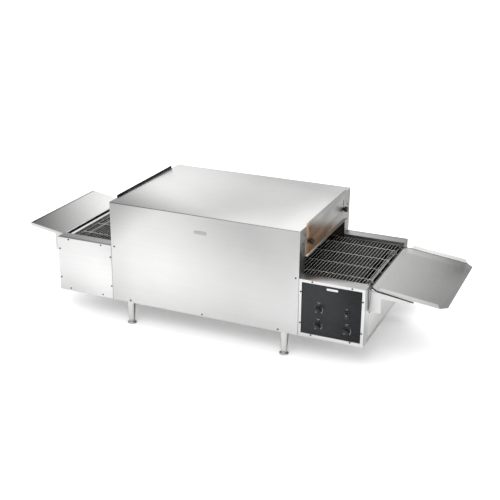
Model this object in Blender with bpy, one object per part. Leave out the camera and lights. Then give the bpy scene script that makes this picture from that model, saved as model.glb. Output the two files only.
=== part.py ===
"""Countertop conveyor pizza oven.

A baking chamber stands on four legs between two lower boxes. A wire belt runs
through all three. The control box is at the exit end (+X) and the idler box at
the entry end (-X). Metres, +Z up, front towards -Y, origin on the floor under
the middle of the overall length.
"""

import math

import bmesh
import bpy
from mathutils import Vector

# Overall sizes
CHAMBER_LENGTH = 0.782
CHAMBER_DEPTH = 0.568
CHAMBER_TOP = 0.509
FLOOR_GAP = 0.102
BOX_LENGTH = 0.250
BOX_TOP = 0.328
BOX_DEPTH = 0.5656
EXIT_REACH = 0.919
ENTRY_REACH = 0.799

# Sheet metal
SHEET = 0.0015
GAP = 0.0003
PAST = 0.010  # how far a cutter runs past what it cuts
SEAM = 0.0012  # the open joint under the top cover
HALF = CHAMBER_LENGTH / 2
BACK = CHAMBER_DEPTH / 2
BOX_END = HALF + BOX_LENGTH
BOX_BACK = BOX_DEPTH / 2
RAIL_INNER = 0.2288
RAIL_DROP = 0.035
EXIT_COVER_TOP = 0.300
ENTRY_COVER_TOP = 0.3230

# The chamber's middle in the object's frame, so that the overall length is centred
CHAMBER_X = (ENTRY_REACH - EXIT_REACH) / 2

# Tunnel and baffles
MOUTH_BOTTOM = 0.262
MOUTH_TOP = 0.405
BAFFLE_TOP = 0.519
BAFFLE_BOTTOM = 0.394
BAFFLE_HALF_WIDTH = 0.225
BAFFLE_LIP = 0.008
BAFFLE_TRAVEL = 0.034
STUD_Y = 0.195
STUD_Z = 0.445
STUD_R = 0.003
SLOT_HALF_WIDTH = 0.0034
SLOT_BELOW = 0.0036

# Belt and drive
BELT_TOP = 0.318
BELT_THICKNESS = 0.002
BELT_HALF_WIDTH = 0.2245
ROLL_R = 0.022
AXLE_Z = BELT_TOP - ROLL_R
DRIVE_X = 0.613
IDLER_X = -0.591
SHAFT_R = 0.006
SHAFT_BORE_R = 0.0063
SPROCKET_Y = 0.150
SPROCKET_TEETH = 12
TRACK_INNER = 0.2255
TRACK_OUTER = 0.2280
CHAIN_Y = -0.2405
CHAIN_WIDTH = 0.005
MOTOR_X = 0.530
MOTOR_Z = 0.165
WHEEL_TEETH = 18
WHEEL_R = 0.0195
PINION_TEETH = 12
PINION_R = 0.013
SPINDLE_SEAT_R = 0.0053

# Controls, on the front of the control box
PANEL_FRONT = -0.2810
HEAT_KNOB_X = 0.4687
SPEED_KNOB_X = 0.578
UPPER_KNOB_Z = 0.221
LOWER_KNOB_Z = 0.156
KNOB_FRONT = -0.300
KNOB_R = 0.0135
KNOB_REST = math.radians(45)  # lean of the rib when the knob is at its lowest mark
SWITCH_X = 0.575
SWITCH_Z = 0.2165
SWITCH_TILT = math.radians(10)
SPINDLE_R = 0.0036

# Trays
EXIT_TRAY_X = 0.6446
EXIT_TRAY_Z = 0.3133
EXIT_TRAY_HALF = 0.232
EXIT_TRAY_SLOPE = math.radians(6.7)
TRAY_CHAMFER = 0.024
ENTRY_TRAY_X = 0.6400
ENTRY_TRAY_Z = 0.3256
ENTRY_TRAY_HALF = 0.2365
ENTRY_TRAY_SLOPE = math.radians(8.7)
TONGUE = 0.0040
TONGUE_HALF = 0.2262
BRACKET_Y = {"exit": 0.2355, "entry": 0.2340}  # outer face of each bracket
BRACKET_CLEAR = 0.0040  # tray top to the middle of the bar it rests on

# Legs
LEG_X = 0.328
LEG_Y = 0.255
LEG_STUD_R = 0.0045

# Fan
FAN_X = 0.500
FAN_Z = 0.200
FAN_R = 0.036
FAN_PIN_R = 0.0020
BLADE_PITCH = math.radians(22)

# Power cord
CORD_X = 0.440
CORD_Z = 0.150
CORD_R = 0.0045
CORD_SLEEVE_R = 0.0072


def clear_scene():
    for obj in list(bpy.data.objects):
        bpy.data.objects.remove(obj, do_unlink=True)


def material(name, colour, roughness, metallic):
    made = bpy.data.materials.new(name)
    made.use_nodes = True
    shader = made.node_tree.nodes["Principled BSDF"]
    shader.inputs["Base Color"].default_value = (*colour, 1.0)
    shader.inputs["Roughness"].default_value = roughness
    shader.inputs["Metallic"].default_value = metallic
    return made


def place(name, mesh, look, location=(0, 0, 0), rotation=(0, 0, 0)):
    """Puts a mesh in the scene as one part of the oven."""
    obj = bpy.data.objects.new(name, mesh)
    bpy.context.scene.collection.objects.link(obj)
    obj.parent = ROOT
    obj.location = location
    obj.rotation_euler = rotation
    if look is None:
        obj.hide_render = True
        obj.display_type = "WIRE"
    else:
        obj.data.materials.append(material(name, *look))
    return obj


def box(name, low, high, look=None):
    """A block between two corners, with its origin in its middle."""
    low, high = Vector(low), Vector(high)
    shape = bmesh.new()
    bmesh.ops.create_cube(shape, size=1.0)
    bmesh.ops.scale(shape, vec=high - low, verts=shape.verts)
    return place(name, to_mesh(name, shape), look, (low + high) / 2)


def to_mesh(name, shape):
    bmesh.ops.recalc_face_normals(shape, faces=shape.faces)
    mesh = bpy.data.meshes.new(name)
    shape.to_mesh(mesh)
    shape.free()
    return mesh


def along(axis, u, v, w):
    """A point from two outline coordinates and a distance along the axis."""
    return {"X": (w, u, v), "Y": (u, w, v), "Z": (u, v, w)}[axis]


def prism(name, outline, axis, start, end, look=None, location=(0, 0, 0), rotation=(0, 0, 0)):
    """An outline pushed along an axis from start to end."""
    shape = bmesh.new()
    face = shape.faces.new([shape.verts.new(along(axis, u, v, start)) for u, v in outline])
    pushed = bmesh.ops.extrude_face_region(shape, geom=[face])
    moved = [item for item in pushed["geom"] if isinstance(item, bmesh.types.BMVert)]
    bmesh.ops.translate(shape, verts=moved, vec=along(axis, 0, 0, end - start))
    return place(name, to_mesh(name, shape), look, location, rotation)


def disc(radius, sides, centre=(0, 0), turn=0.0):
    """A round outline."""
    steps = [turn + 2 * math.pi * i / sides for i in range(sides)]
    return [(centre[0] + radius * math.cos(a), centre[1] + radius * math.sin(a)) for a in steps]


def boolean(obj, other, operation):
    step = obj.modifiers.new(other.name, "BOOLEAN")
    step.operation = operation
    step.solver = "EXACT"
    step.object = other
    return obj


def cut(obj, *cutters):
    for cutter in cutters:
        boolean(obj, cutter, "DIFFERENCE")
    return obj


def join(obj, *additions):
    for addition in additions:
        boolean(obj, addition, "UNION")
    return obj


def turned(name, profile, look, location, rotation=(0, 0, 0), steps=20):
    """A profile of (radius, height) points, listed from the top down, turned about Z."""
    shape = bmesh.new()
    points = [shape.verts.new((radius, 0, height)) for radius, height in profile]
    for first, second in zip(points, points[1:]):
        shape.edges.new((first, second))
    mesh = bpy.data.meshes.new(name)
    shape.to_mesh(mesh)
    shape.free()
    obj = place(name, mesh, look, location, rotation)
    turn = obj.modifiers.new("turn", "SCREW")
    turn.axis = "Z"
    turn.steps = steps
    turn.render_steps = steps
    turn.use_merge_vertices = True
    turn.merge_threshold = 0.00001
    return obj


def folded(path, thickness=SHEET):
    """The outline of a sheet folded along a path, which is its middle line."""
    left, right = [], []
    for i, point in enumerate(path):
        here = Vector(point)
        before = (here - Vector(path[i - 1])).normalized() if i else None
        after = (Vector(path[i + 1]) - here).normalized() if i + 1 < len(path) else None
        before = before or after
        after = after or before
        normal = Vector((-(before.y + after.y), before.x + after.x)).normalized()
        stretch = 1 / max(normal.dot(Vector((-before.y, before.x))), 0.2)
        offset = normal * stretch * thickness / 2
        left.append(tuple(here + offset))
        right.append(tuple(here - offset))
    return left + right[::-1]


def rounded(path, radius, steps=4):
    """A path of 3D points with its inner corners rounded."""
    points = [Vector(p) for p in path]
    out = [points[0]]
    for before, corner, after in zip(points, points[1:], points[2:]):
        back, on = (before - corner).normalized(), (after - corner).normalized()
        half = back.angle(on) / 2
        reach = radius / math.tan(half)
        centre = corner + (back + on).normalized() * radius / math.sin(half)
        start = (corner + back * reach - centre).normalized()
        end = (corner + on * reach - centre).normalized()
        out += [centre + start.slerp(end, i / steps) * radius for i in range(steps + 1)]
    return out + [points[-1]]


def tube(name, path, radius, look=None, location=(0, 0, 0), fineness=1):
    """A round bar along a path, with flat ends."""
    curve = bpy.data.curves.new(name, "CURVE")
    curve.dimensions = "3D"
    curve.bevel_depth = radius
    curve.bevel_resolution = fineness
    curve.use_fill_caps = True
    spline = curve.splines.new("POLY")
    spline.points.add(len(path) - 1)
    for point, where in zip(spline.points, path):
        point.co = (*where, 1.0)
    guide = bpy.data.objects.new(name + "_path", curve)
    shape = bmesh.new()
    shape.from_mesh(bpy.data.meshes.new_from_object(guide))
    bpy.data.objects.remove(guide)
    bmesh.ops.remove_doubles(shape, verts=shape.verts, dist=0.000001)
    return place(name, to_mesh(name, shape), look, location)


def round_bar(name, radius, start, end, look=None, sides=20):
    """A straight round bar between two points."""
    start, end = Vector(start), Vector(end)
    line = end - start
    shape = bmesh.new()
    bmesh.ops.create_cone(
        shape,
        cap_ends=True,
        segments=sides,
        radius1=radius,
        radius2=radius,
        depth=line.length,
    )
    turn = Vector((0, 0, 1)).rotation_difference(line).to_euler()
    return place(name, to_mesh(name, shape), look, (start + end) / 2, turn)


def across(name, radius, x, z, y, reach, look=None, sides=20):
    """A round bar along Y, centred on a depth and reaching as far each way."""
    return round_bar(name, radius, (x, y - reach, z), (x, y + reach, z), look, sides)


# Looks: colour, roughness, metallic
STEEL = ((0.78, 0.78, 0.77), 0.32, 1.0)
DULL_STEEL = ((0.55, 0.55, 0.54), 0.5, 1.0)
DARK_STEEL = ((0.08, 0.08, 0.08), 0.45, 0.9)
CHARCOAL = ((0.055, 0.058, 0.062), 0.5, 0.0)
BLACK = ((0.012, 0.012, 0.012), 0.4, 0.0)
HEATER = ((0.20, 0.19, 0.18), 0.6, 0.8)
WOOL = ((0.72, 0.68, 0.58), 0.95, 0.0)
PAINT = ((0.10, 0.12, 0.15), 0.5, 0.0)


# Baking chamber


def chamber_covers():
    """The top cover with its hem, and the front and back panels under it."""
    top = box("top_cover", (-HALF, -BACK, CHAMBER_TOP - SHEET), (HALF, BACK, CHAMBER_TOP), STEEL)
    inset, drop = 0.0035, 0.012
    hem = box(
        "top_cover_hem",
        (-HALF + inset, -BACK + inset, CHAMBER_TOP - drop),
        (HALF - inset, BACK - inset, CHAMBER_TOP - SHEET / 2),
    )
    inside = box(
        "top_cover_inside",
        (-HALF + inset + SHEET, -BACK + inset + SHEET, CHAMBER_TOP - 2 * drop),
        (HALF - inset - SHEET, BACK - inset - SHEET, CHAMBER_TOP - SHEET),
    )
    cut(join(top, hem), inside)
    upper = CHAMBER_TOP - SHEET - SEAM
    box("front_panel", (-HALF, -BACK, FLOOR_GAP), (HALF, -BACK + SHEET, upper), STEEL)
    box("back_panel", (-HALF, BACK - SHEET, FLOOR_GAP), (HALF, BACK, upper), STEEL)


def base_pan():
    """A shallow pan that closes the chamber's underside and carries the legs."""
    x, y, height = HALF - SHEET - GAP, BACK - SHEET - GAP, 0.020
    pan = box("base_pan", (-x, -y, FLOOR_GAP), (x, y, FLOOR_GAP + height), STEEL)
    hollow = box(
        "base_pan_hollow",
        (-x + SHEET, -y + SHEET, FLOOR_GAP + SHEET),
        (x - SHEET, y - SHEET, FLOOR_GAP + height + PAST),
    )
    cut(pan, hollow)
    for side, end in corners():
        hole = disc(LEG_STUD_R + 0.0008, 16, (end * LEG_X, side * LEG_Y))
        name = "leg_hole_" + corner_name(side, end)
        cut(pan, prism(name, hole, "Z", FLOOR_GAP - PAST, FLOOR_GAP + PAST))


def corners():
    """Front or back (-1, 1) with entry or exit end (-1, 1)."""
    return [(side, end) for side in (-1, 1) for end in (-1, 1)]


def corner_name(side, end):
    return ("front_" if side < 0 else "rear_") + end_name(end)


def end_name(end):
    return "entry" if end < 0 else "exit"


def end_wall(end):
    """An end of the chamber, open for the belt and bored for the baffle's two studs."""
    name = end_name(end) + "_end_wall"
    y = BACK - SHEET - GAP
    top = CHAMBER_TOP - SHEET - GAP
    inner, outer = sorted((end * (HALF - SHEET), end * HALF))
    wall = box(name, (inner, -y, FLOOR_GAP), (outer, y, top), STEEL)
    mouth = box(
        name + "_mouth",
        (inner - PAST, -RAIL_INNER, MOUTH_BOTTOM),
        (outer + PAST, RAIL_INNER, MOUTH_TOP),
    )
    cut(wall, mouth)
    for side in (-1, 1):
        hole = disc(STUD_R + 0.0006, 16, (side * STUD_Y, STUD_Z))
        cut(wall, prism(f"{name}_hole_{side}", hole, "X", inner - PAST, outer + PAST))


def liners_and_insulation():
    """A hood and a sump that line the tunnel, and the wool round the hood."""
    length = HALF - SHEET - 0.001
    wall_y, roof, join_z, floor = 0.23725, 0.468, 0.205, 0.150
    hood = [(-wall_y, join_z + GAP), (-wall_y, roof), (wall_y, roof), (wall_y, join_z + GAP)]
    sump = [(-wall_y, join_z), (-wall_y, floor), (wall_y, floor), (wall_y, join_z)]
    upper = prism("upper_liner", folded(hood), "X", -length, length, STEEL)
    lower = prism("lower_liner", folded(sump), "X", -length, length, STEEL)
    wool, wool_foot = 0.026, join_z + 0.010
    inset = SHEET / 2 + GAP + wool / 2
    wrap = [
        (-wall_y - inset, wool_foot),
        (-wall_y - inset, roof + inset),
        (wall_y + inset, roof + inset),
        (wall_y + inset, wool_foot),
    ]
    blanket = prism("insulation_blanket", folded(wrap, wool), "X", -length, length, WOOL)
    return upper, lower, blanket


def heater(name, height, liner, blanket):
    """A sheathed element bent to and fro across the tunnel, its two ends through the rear wall."""
    passes, reach, bend, radius, arc_steps = 6, 0.170, 0.055, 0.004, 6
    lead_y, inner_y, outer_y = 0.268, 0.230, 0.290
    path = [Vector((-bend * (passes - 1), lead_y, height))]
    for i in range(passes):
        x = bend * (2 * i - passes + 1)
        side = -1 if i % 2 == 0 else 1
        if i < passes - 1:
            centre = Vector((x + bend, side * reach, height))
            for step in range(arc_steps + 1):
                angle = math.pi * (1 - step / arc_steps)
                turn = Vector((math.cos(angle), side * math.sin(angle), 0))
                path.append(centre + turn * bend)
    path.append(Vector((bend * (passes - 1), lead_y, height)))
    tube(name, path, radius, HEATER, fineness=1)
    for i, x in enumerate((path[0].x, path[-1].x)):
        start, end = (x, inner_y, height), (x, outer_y, height)
        cut(liner, round_bar(f"{name}_wall_hole_{i}", radius + 0.001, start, end, sides=12))
        if blanket:
            cut(blanket, round_bar(f"{name}_blanket_hole_{i}", radius + 0.002, start, end, sides=12))


def chamber():
    chamber_covers()
    base_pan()
    for end in (-1, 1):
        end_wall(end)
        baffle(end)
    upper, lower, blanket = liners_and_insulation()
    heater("upper_heater", 0.446, upper, blanket)
    heater("lower_heater", 0.185, lower, None)


# Baffles


def baffle(end):
    """A plate that hangs outside the end wall, with a lip folded out along its foot."""
    name = end_name(end) + "_baffle"
    middle = HALF + GAP + SHEET / 2
    lip = BAFFLE_BOTTOM + SHEET / 2
    path = [(middle, BAFFLE_TOP), (middle, lip), (middle + BAFFLE_LIP, lip)]
    path = [(end * x, z - STUD_Z) for x, z in path]
    width = BAFFLE_HALF_WIDTH
    plate = prism(name, folded(path), "Y", -width, width, STEEL, (0, 0, STUD_Z))
    for side in (-1, 1):
        cut(plate, slot(f"{name}_slot_{side}", side * STUD_Y))
        baffle_knob(side, end)


def slot(name, y):
    """A round-ended slot that the stud runs in, long enough for the baffle's travel."""
    clear, arc_steps = 0.001, 8
    low = STUD_Z - SLOT_BELOW + SLOT_HALF_WIDTH
    high = STUD_Z + STUD_R + BAFFLE_TRAVEL + clear - SLOT_HALF_WIDTH
    outline = []
    for centre, first in ((high, 0.0), (low, math.pi)):
        for i in range(arc_steps + 1):
            angle = first + math.pi * i / arc_steps
            shift = (SLOT_HALF_WIDTH * math.cos(angle), SLOT_HALF_WIDTH * math.sin(angle))
            outline.append((y + shift[0], centre + shift[1]))
    return prism(name, outline, "X", -HALF - PAST, HALF + PAST)


def baffle_knob(side, end):
    """A thumb screw: its stud runs through the baffle's slot into the end wall."""
    seat, behind = SHEET + 2 * GAP, -0.008
    rim, edge, collar = 0.0110, 0.0095, 0.0065
    top, under = seat + 0.018, seat + 0.005
    profile = [
        (0, top),
        (edge, top),
        (rim, top - 0.0015),
        (rim, under + 0.0015),
        (edge, under),
        (collar, under),
        (collar, seat),
        (STUD_R, seat),
        (STUD_R, behind),
        (0, behind),
    ]
    name = "baffle_knob_" + corner_name(side, end)
    where = (end * HALF, side * STUD_Y, STUD_Z)
    turned(name, profile, BLACK, where, (0, end * math.pi / 2, 0), 16)


# Side boxes and their rails


def box_shell(end):
    """Floor, rear wall and both belt rails in one folded shell, closed at its outer end by a frame."""
    name = "control_box_shell" if end > 0 else "idler_box_shell"
    t = SHEET / 2
    top, drop = BOX_TOP - t, BOX_TOP - RAIL_DROP
    front, back = -BOX_BACK + SHEET + GAP + t, BOX_BACK - t
    rail = RAIL_INNER + t
    floor = FLOOR_GAP + t
    near, far = sorted((end * (HALF + GAP), end * (BOX_END - t)))
    upstand = 0.014
    rear_path = [(rail, drop), (rail, top), (back, top), (back, floor), (front, floor)]
    rear_path.append((front, floor + upstand))
    hem = 0.008
    front_path = [(front, top - hem), (front, top), (-rail, top), (-rail, drop)]
    shell = prism(name, folded(rear_path), "X", near, far, STEEL)
    front_rail = prism(name + "_front_rail", folded(front_path), "X", near, far)
    low, high = sorted((end * (BOX_END - SHEET), end * BOX_END))
    frame = box(name + "_end_frame", (low, front - t, FLOOR_GAP), (high, BOX_BACK, BOX_TOP))
    sill = 0.015
    opening = box(
        name + "_end_opening",
        (low - PAST, -TONGUE_HALF - GAP, FLOOR_GAP + sill),
        (high + PAST, TONGUE_HALF + GAP, BOX_TOP + PAST),
    )
    cut(join(shell, front_rail, frame), opening)
    cover_name = end_name(end) + "_end_cover"
    lower = FLOOR_GAP + sill + GAP
    upper = EXIT_COVER_TOP if end > 0 else ENTRY_COVER_TOP
    box(cover_name, (low, -TONGUE_HALF, lower), (high, TONGUE_HALF, upper), STEEL)
    return shell


def control_box():
    """The shell at the exit end, open for the drive shaft, the fan's air and the cord."""
    shell = box_shell(1)
    notch = across("drive_shaft_notch", SHAFT_R + 0.002, DRIVE_X, AXLE_Z, -RAIL_INNER, 0.004)
    cut(shell, notch)
    vents, pitch, half_length, half_height = 5, 0.012, 0.030, 0.002
    for i in range(vents):
        z = FAN_Z + pitch * (i - (vents - 1) / 2)
        low = (FAN_X - half_length, BOX_BACK - PAST, z - half_height)
        high = (FAN_X + half_length, BOX_BACK + PAST, z + half_height)
        cut(shell, box(f"fan_vent_{i}", low, high))
    cut(shell, across("cord_hole", CORD_SLEEVE_R + 0.0013, CORD_X, CORD_Z, BOX_BACK, PAST))
    fascia_and_panel()


def fascia_and_panel():
    """A stainless frame with the dark panel set behind it."""
    low_x, high_x, front = HALF + GAP, BOX_END, -BOX_BACK
    margin, sill = 0.011, 0.014
    fascia = box(
        "control_fascia",
        (low_x, front, FLOOR_GAP),
        (high_x, front + SHEET, BOX_TOP),
        STEEL,
    )
    window = box(
        "control_fascia_window",
        (low_x + margin, front - PAST, FLOOR_GAP + sill),
        (high_x - margin, front + PAST, BOX_TOP - margin),
    )
    cut(fascia, window)
    lap = 0.003
    panel = box(
        "control_panel",
        (low_x + margin - lap, PANEL_FRONT, FLOOR_GAP + sill + lap),
        (high_x - margin + lap, PANEL_FRONT + SHEET, BOX_TOP - margin - 0.0005),
        CHARCOAL,
    )
    for name, x, z in knob_places():
        cut(panel, across(name + "_hole", SPINDLE_R + 0.0006, x, z, PANEL_FRONT, PAST))
    cut(panel, switch_block("switch_hole", 0.0080, 0.0140, PANEL_FRONT - PAST, PANEL_FRONT + PAST))


def idler_box():
    """The shell at the entry end with its front cover, and the bar across its opening."""
    box_shell(-1)
    front = -BOX_BACK
    box(
        "idler_front_cover",
        (-BOX_END, front, FLOOR_GAP),
        (-HALF - GAP, front + SHEET, BOX_TOP),
        STEEL,
    )
    left, right, top, skirt = -0.6270, -0.6150, 0.3178, 0.308
    path = [(left, skirt), (left, top), (right, top), (right, skirt)]
    prism("entry_cross_bar", folded(path), "Y", -BELT_HALF_WIDTH, BELT_HALF_WIDTH, STEEL)


# Controls


def knob_places():
    """Name, x and z of each control knob."""
    return [
        ("top_heat_knob", HEAT_KNOB_X, UPPER_KNOB_Z),
        ("bottom_heat_knob", HEAT_KNOB_X, LOWER_KNOB_Z),
        ("belt_speed_knob", SPEED_KNOB_X, LOWER_KNOB_Z),
    ]


def control_knob(name, x, z):
    """A skirted knob on its spindle, with a rib across its face that points to the lowest mark."""
    face, behind = PANEL_FRONT - KNOB_FRONT - 0.002, -0.012
    profile = [
        (0, face),
        (0.0088, face),
        (0.0100, face - 0.0015),
        (0.0108, 0.0045),
        (KNOB_R, 0.0030),
        (KNOB_R, 0.0008),
        (SPINDLE_R, 0.0008),
        (SPINDLE_R, behind),
        (0, behind),
    ]
    knob = turned(name, profile, BLACK, (x, PANEL_FRONT, z), (math.pi / 2, 0, 0), 18)
    half_width, half_length, depth = 0.0016, 0.0075, 0.008
    outline = [
        (-half_width, -half_length),
        (half_width, -half_length),
        (half_width, half_length),
        (-half_width, half_length),
    ]
    join(knob, prism(name + "_rib", outline, "Y", 0, depth, None, (x, KNOB_FRONT, z), (0, KNOB_REST, 0)))


def switch_block(name, half_width, half_height, front, back, look=None):
    """A block centred on the power switch, between two depths."""
    low = (SWITCH_X - half_width, front, SWITCH_Z - half_height)
    high = (SWITCH_X + half_width, back, SWITCH_Z + half_height)
    return box(name, low, high, look)


def power_switch():
    """A bezel with its barrel behind the panel, and the rocker in its well."""
    front, back, wall = PANEL_FRONT - 0.0025, PANEL_FRONT + 0.018, 0.0014
    barrel_x, barrel_z = 0.0076, 0.0136
    body = switch_block("power_switch_body", 0.0090, 0.0155, front, PANEL_FRONT - GAP, BLACK)
    barrel = switch_block("power_switch_barrel", barrel_x, barrel_z, PANEL_FRONT - 0.001, back)
    well_x, well_z = barrel_x - wall, barrel_z - wall
    well = switch_block("power_switch_well", well_x, well_z, front - PAST, back - 0.002)
    cut(join(body, barrel), well)
    half, end_rise, middle_rise, heel, depth = 0.0104, 0.0062, 0.0040, 0.0040, 0.003
    outline = [
        (-end_rise, -half),
        (-middle_rise, 0),
        (-end_rise, half),
        (-0.001, half),
        (depth, heel),
        (depth, -heel),
        (-0.001, -half),
    ]
    pivot = (SWITCH_X, PANEL_FRONT + 0.001, SWITCH_Z)
    prism("power_rocker", outline, "X", -0.0058, 0.0058, BLACK, pivot, (SWITCH_TILT, 0, 0))


# Belt and its drive


def loop_outline(first, first_r, second, second_r, sides=10):
    """The outline of a band round two rolls."""
    first, second = Vector(first), Vector(second)
    line = second - first
    heading = math.atan2(line.y, line.x)
    spread = math.acos((first_r - second_r) / line.length)
    outline = []
    sweep = 2 * math.pi - 2 * spread
    for i in range(sides + 1):
        angle = heading + spread + sweep * i / sides
        outline.append(tuple(first + first_r * Vector((math.cos(angle), math.sin(angle)))))
    for i in range(sides + 1):
        angle = heading - spread + 2 * spread * i / sides
        outline.append(tuple(second + second_r * Vector((math.cos(angle), math.sin(angle)))))
    return outline


def band(name, ends, radii, thickness, y_low, y_high, look):
    """A closed flat band round two rolls, its inside at the given radii."""
    outer = loop_outline(ends[0], radii[0] + thickness, ends[1], radii[1] + thickness)
    inner = loop_outline(ends[0], radii[0], ends[1], radii[1])
    loop = prism(name, outer, "Y", y_low, y_high, look)
    return cut(loop, prism(name + "_inside", inner, "Y", y_low - PAST, y_high + PAST))


def toothed(radius, depth, teeth):
    """The outline of a sprocket: each tooth has a root and a tip on either side of its middle."""
    root, half_root, half_tip = radius - depth, 0.30, 0.12
    tooth = ((-half_root, root), (-half_tip, radius), (half_tip, radius), (half_root, root))
    outline = []
    for i in range(teeth):
        for share, r in tooth:
            angle = 2 * math.pi * (i + share) / teeth
            outline.append((r * math.cos(angle), r * math.sin(angle)))
    return outline


def sprocket(name, centre, radius, teeth, depth, width, hub, bore=SHAFT_BORE_R):
    """A toothed wheel with a hub, bored for its shaft."""
    x, y, z = centre
    outline = toothed(radius, depth, teeth)
    wheel = prism(name, outline, "Y", -width / 2, width / 2, DULL_STEEL, centre)
    boss = across(name + "_hub", hub, x, z, y, width)
    return cut(join(wheel, boss), across(name + "_bore", bore, x, z, y, 3 * width))


def tracks():
    """The two long side plates that carry the shafts."""
    for side in (-1, 1):
        name = ("front" if side < 0 else "rear") + "_belt_track"
        low, high = sorted((side * TRACK_INNER, side * TRACK_OUTER))
        reach, rise = 0.020, 0.016
        start, end = (IDLER_X - reach, low, AXLE_Z - rise), (DRIVE_X + reach, high, AXLE_Z + rise)
        track = box(name, start, end, DULL_STEEL)
        for x in (DRIVE_X, IDLER_X):
            cut(track, across(f"{name}_bore_{x}", SHAFT_BORE_R, x, AXLE_Z, low, PAST))


def belt_and_shafts():
    """The belt round its two rolls of sprockets, with the shafts and the tracks that hold them."""
    inside = ROLL_R - BELT_THICKNESS
    ends = ((DRIVE_X, AXLE_Z), (IDLER_X, AXLE_Z))
    width = BELT_HALF_WIDTH
    band("conveyor_belt", ends, (inside, inside), BELT_THICKNESS, -width, width, DARK_STEEL)
    end_y, drive_end_y = TRACK_OUTER + 0.0004, CHAIN_Y - 0.0095
    start, end = (DRIVE_X, drive_end_y, AXLE_Z), (DRIVE_X, end_y, AXLE_Z)
    round_bar("drive_shaft", SHAFT_R, start, end, STEEL)
    start, end = (IDLER_X, -end_y, AXLE_Z), (IDLER_X, end_y, AXLE_Z)
    round_bar("idler_shaft", SHAFT_R, start, end, STEEL)
    for side in (-1, 1):
        where = "front" if side < 0 else "rear"
        for role, x in (("drive", DRIVE_X), ("idler", IDLER_X)):
            name = f"{role}_sprocket_{where}"
            centre = (x, side * SPROCKET_Y, AXLE_Z)
            sprocket(name, centre, inside - 0.0007, SPROCKET_TEETH, 0.004, 0.006, 0.011)
    tracks()


def chain_drive():
    """The chain from the gearmotor's sprocket up to the wheel on the drive shaft."""
    slack, chain, tooth, width = 0.0006, 0.004, 0.003, 0.0035
    ends = ((DRIVE_X, AXLE_Z), (MOTOR_X, MOTOR_Z))
    low, high = CHAIN_Y - CHAIN_WIDTH / 2, CHAIN_Y + CHAIN_WIDTH / 2
    radii = (WHEEL_R + slack, PINION_R + slack)
    band("drive_chain", ends, radii, chain, low, high, DARK_STEEL)
    wheel_at = (DRIVE_X, CHAIN_Y, AXLE_Z)
    sprocket("shaft_chain_wheel", wheel_at, WHEEL_R, WHEEL_TEETH, tooth, width, 0.010)
    pinion_at = (MOTOR_X, CHAIN_Y, MOTOR_Z)
    pinion = sprocket("motor_sprocket", pinion_at, PINION_R, PINION_TEETH, tooth, width, 0.008, 0.003)
    start, end = (MOTOR_X, CHAIN_Y - 0.008, MOTOR_Z), (MOTOR_X, -0.200, MOTOR_Z)
    join(pinion, round_bar("motor_spindle", SPINDLE_SEAT_R - 0.0003, start, end))


def gearmotor():
    """A geared motor on its foot, bored for the spindle of its sprocket."""
    floor = FLOOR_GAP + SHEET + GAP
    front, back, can_back = -0.222, -0.165, -0.065
    gearbox = box(
        "gearmotor",
        (MOTOR_X - 0.036, front, floor + 0.002),
        (MOTOR_X + 0.036, back, MOTOR_Z + 0.040),
        PAINT,
    )
    foot_low = (MOTOR_X - 0.050, front, floor)
    foot = box("gearmotor_foot", foot_low, (MOTOR_X + 0.050, back + 0.015, floor + 0.004))
    can_z = MOTOR_Z - 0.012
    start, end = (MOTOR_X, back - 0.005, can_z), (MOTOR_X, can_back, can_z)
    can = round_bar("gearmotor_can", 0.034, start, end, sides=24)
    bore = across("gearmotor_bore", SPINDLE_SEAT_R, MOTOR_X, MOTOR_Z, front + 0.008, 0.016)
    cut(join(gearbox, foot, can), bore)


def cooling_fan():
    """An axial fan on the rear wall of the control box: a frame with a spider, and its rotor."""
    side, depth, spider = 0.040, 0.020, 0.003
    back = BOX_BACK - SHEET - GAP
    front = back - depth
    frame = box(
        "cooling_fan_frame",
        (FAN_X - side, front, FAN_Z - side),
        (FAN_X + side, back, FAN_Z + side),
        BLACK,
    )
    duct = across("fan_duct", FAN_R + 0.001, FAN_X, FAN_Z, back, depth + PAST, sides=24)
    strut = box(
        "fan_strut",
        (FAN_X - side, back - spider, FAN_Z - spider),
        (FAN_X + side, back, FAN_Z + spider),
    )
    post = box(
        "fan_post",
        (FAN_X - spider, back - spider, FAN_Z - side),
        (FAN_X + spider, back, FAN_Z + side),
    )
    start, end = (FAN_X, back - 0.012, FAN_Z), (FAN_X, back - 0.001, FAN_Z)
    pin = round_bar("fan_pin", FAN_PIN_R, start, end, sides=12)
    join(cut(frame, duct), strut, post, pin)
    cooling_fan_rotor((front + back) / 2)


def cooling_fan_rotor(middle):
    """A hub bored for the fan's pin, with pitched blades."""
    hub_r, root, tip, blades = 0.014, 0.012, FAN_R - 0.001, 5
    start, end = (FAN_X, middle - 0.008, FAN_Z), (FAN_X, middle + 0.0055, FAN_Z)
    rotor = round_bar("cooling_fan_rotor", hub_r, start, end, BLACK)
    outline = [(root, -0.005), (tip, -0.007), (tip, 0.007), (root, 0.005)]
    for i in range(blades):
        turn = (BLADE_PITCH, -2 * math.pi * i / blades, 0)
        centre = (FAN_X, middle - 0.001, FAN_Z)
        join(rotor, prism(f"fan_blade_{i}", outline, "Y", -0.0006, 0.0006, None, centre, turn))
    start, end = (FAN_X, middle - 0.004, FAN_Z), (FAN_X, middle + PAST, FAN_Z)
    cut(rotor, round_bar("fan_bore", FAN_PIN_R + 0.0004, start, end, sides=12))


# Trays and their brackets


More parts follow.
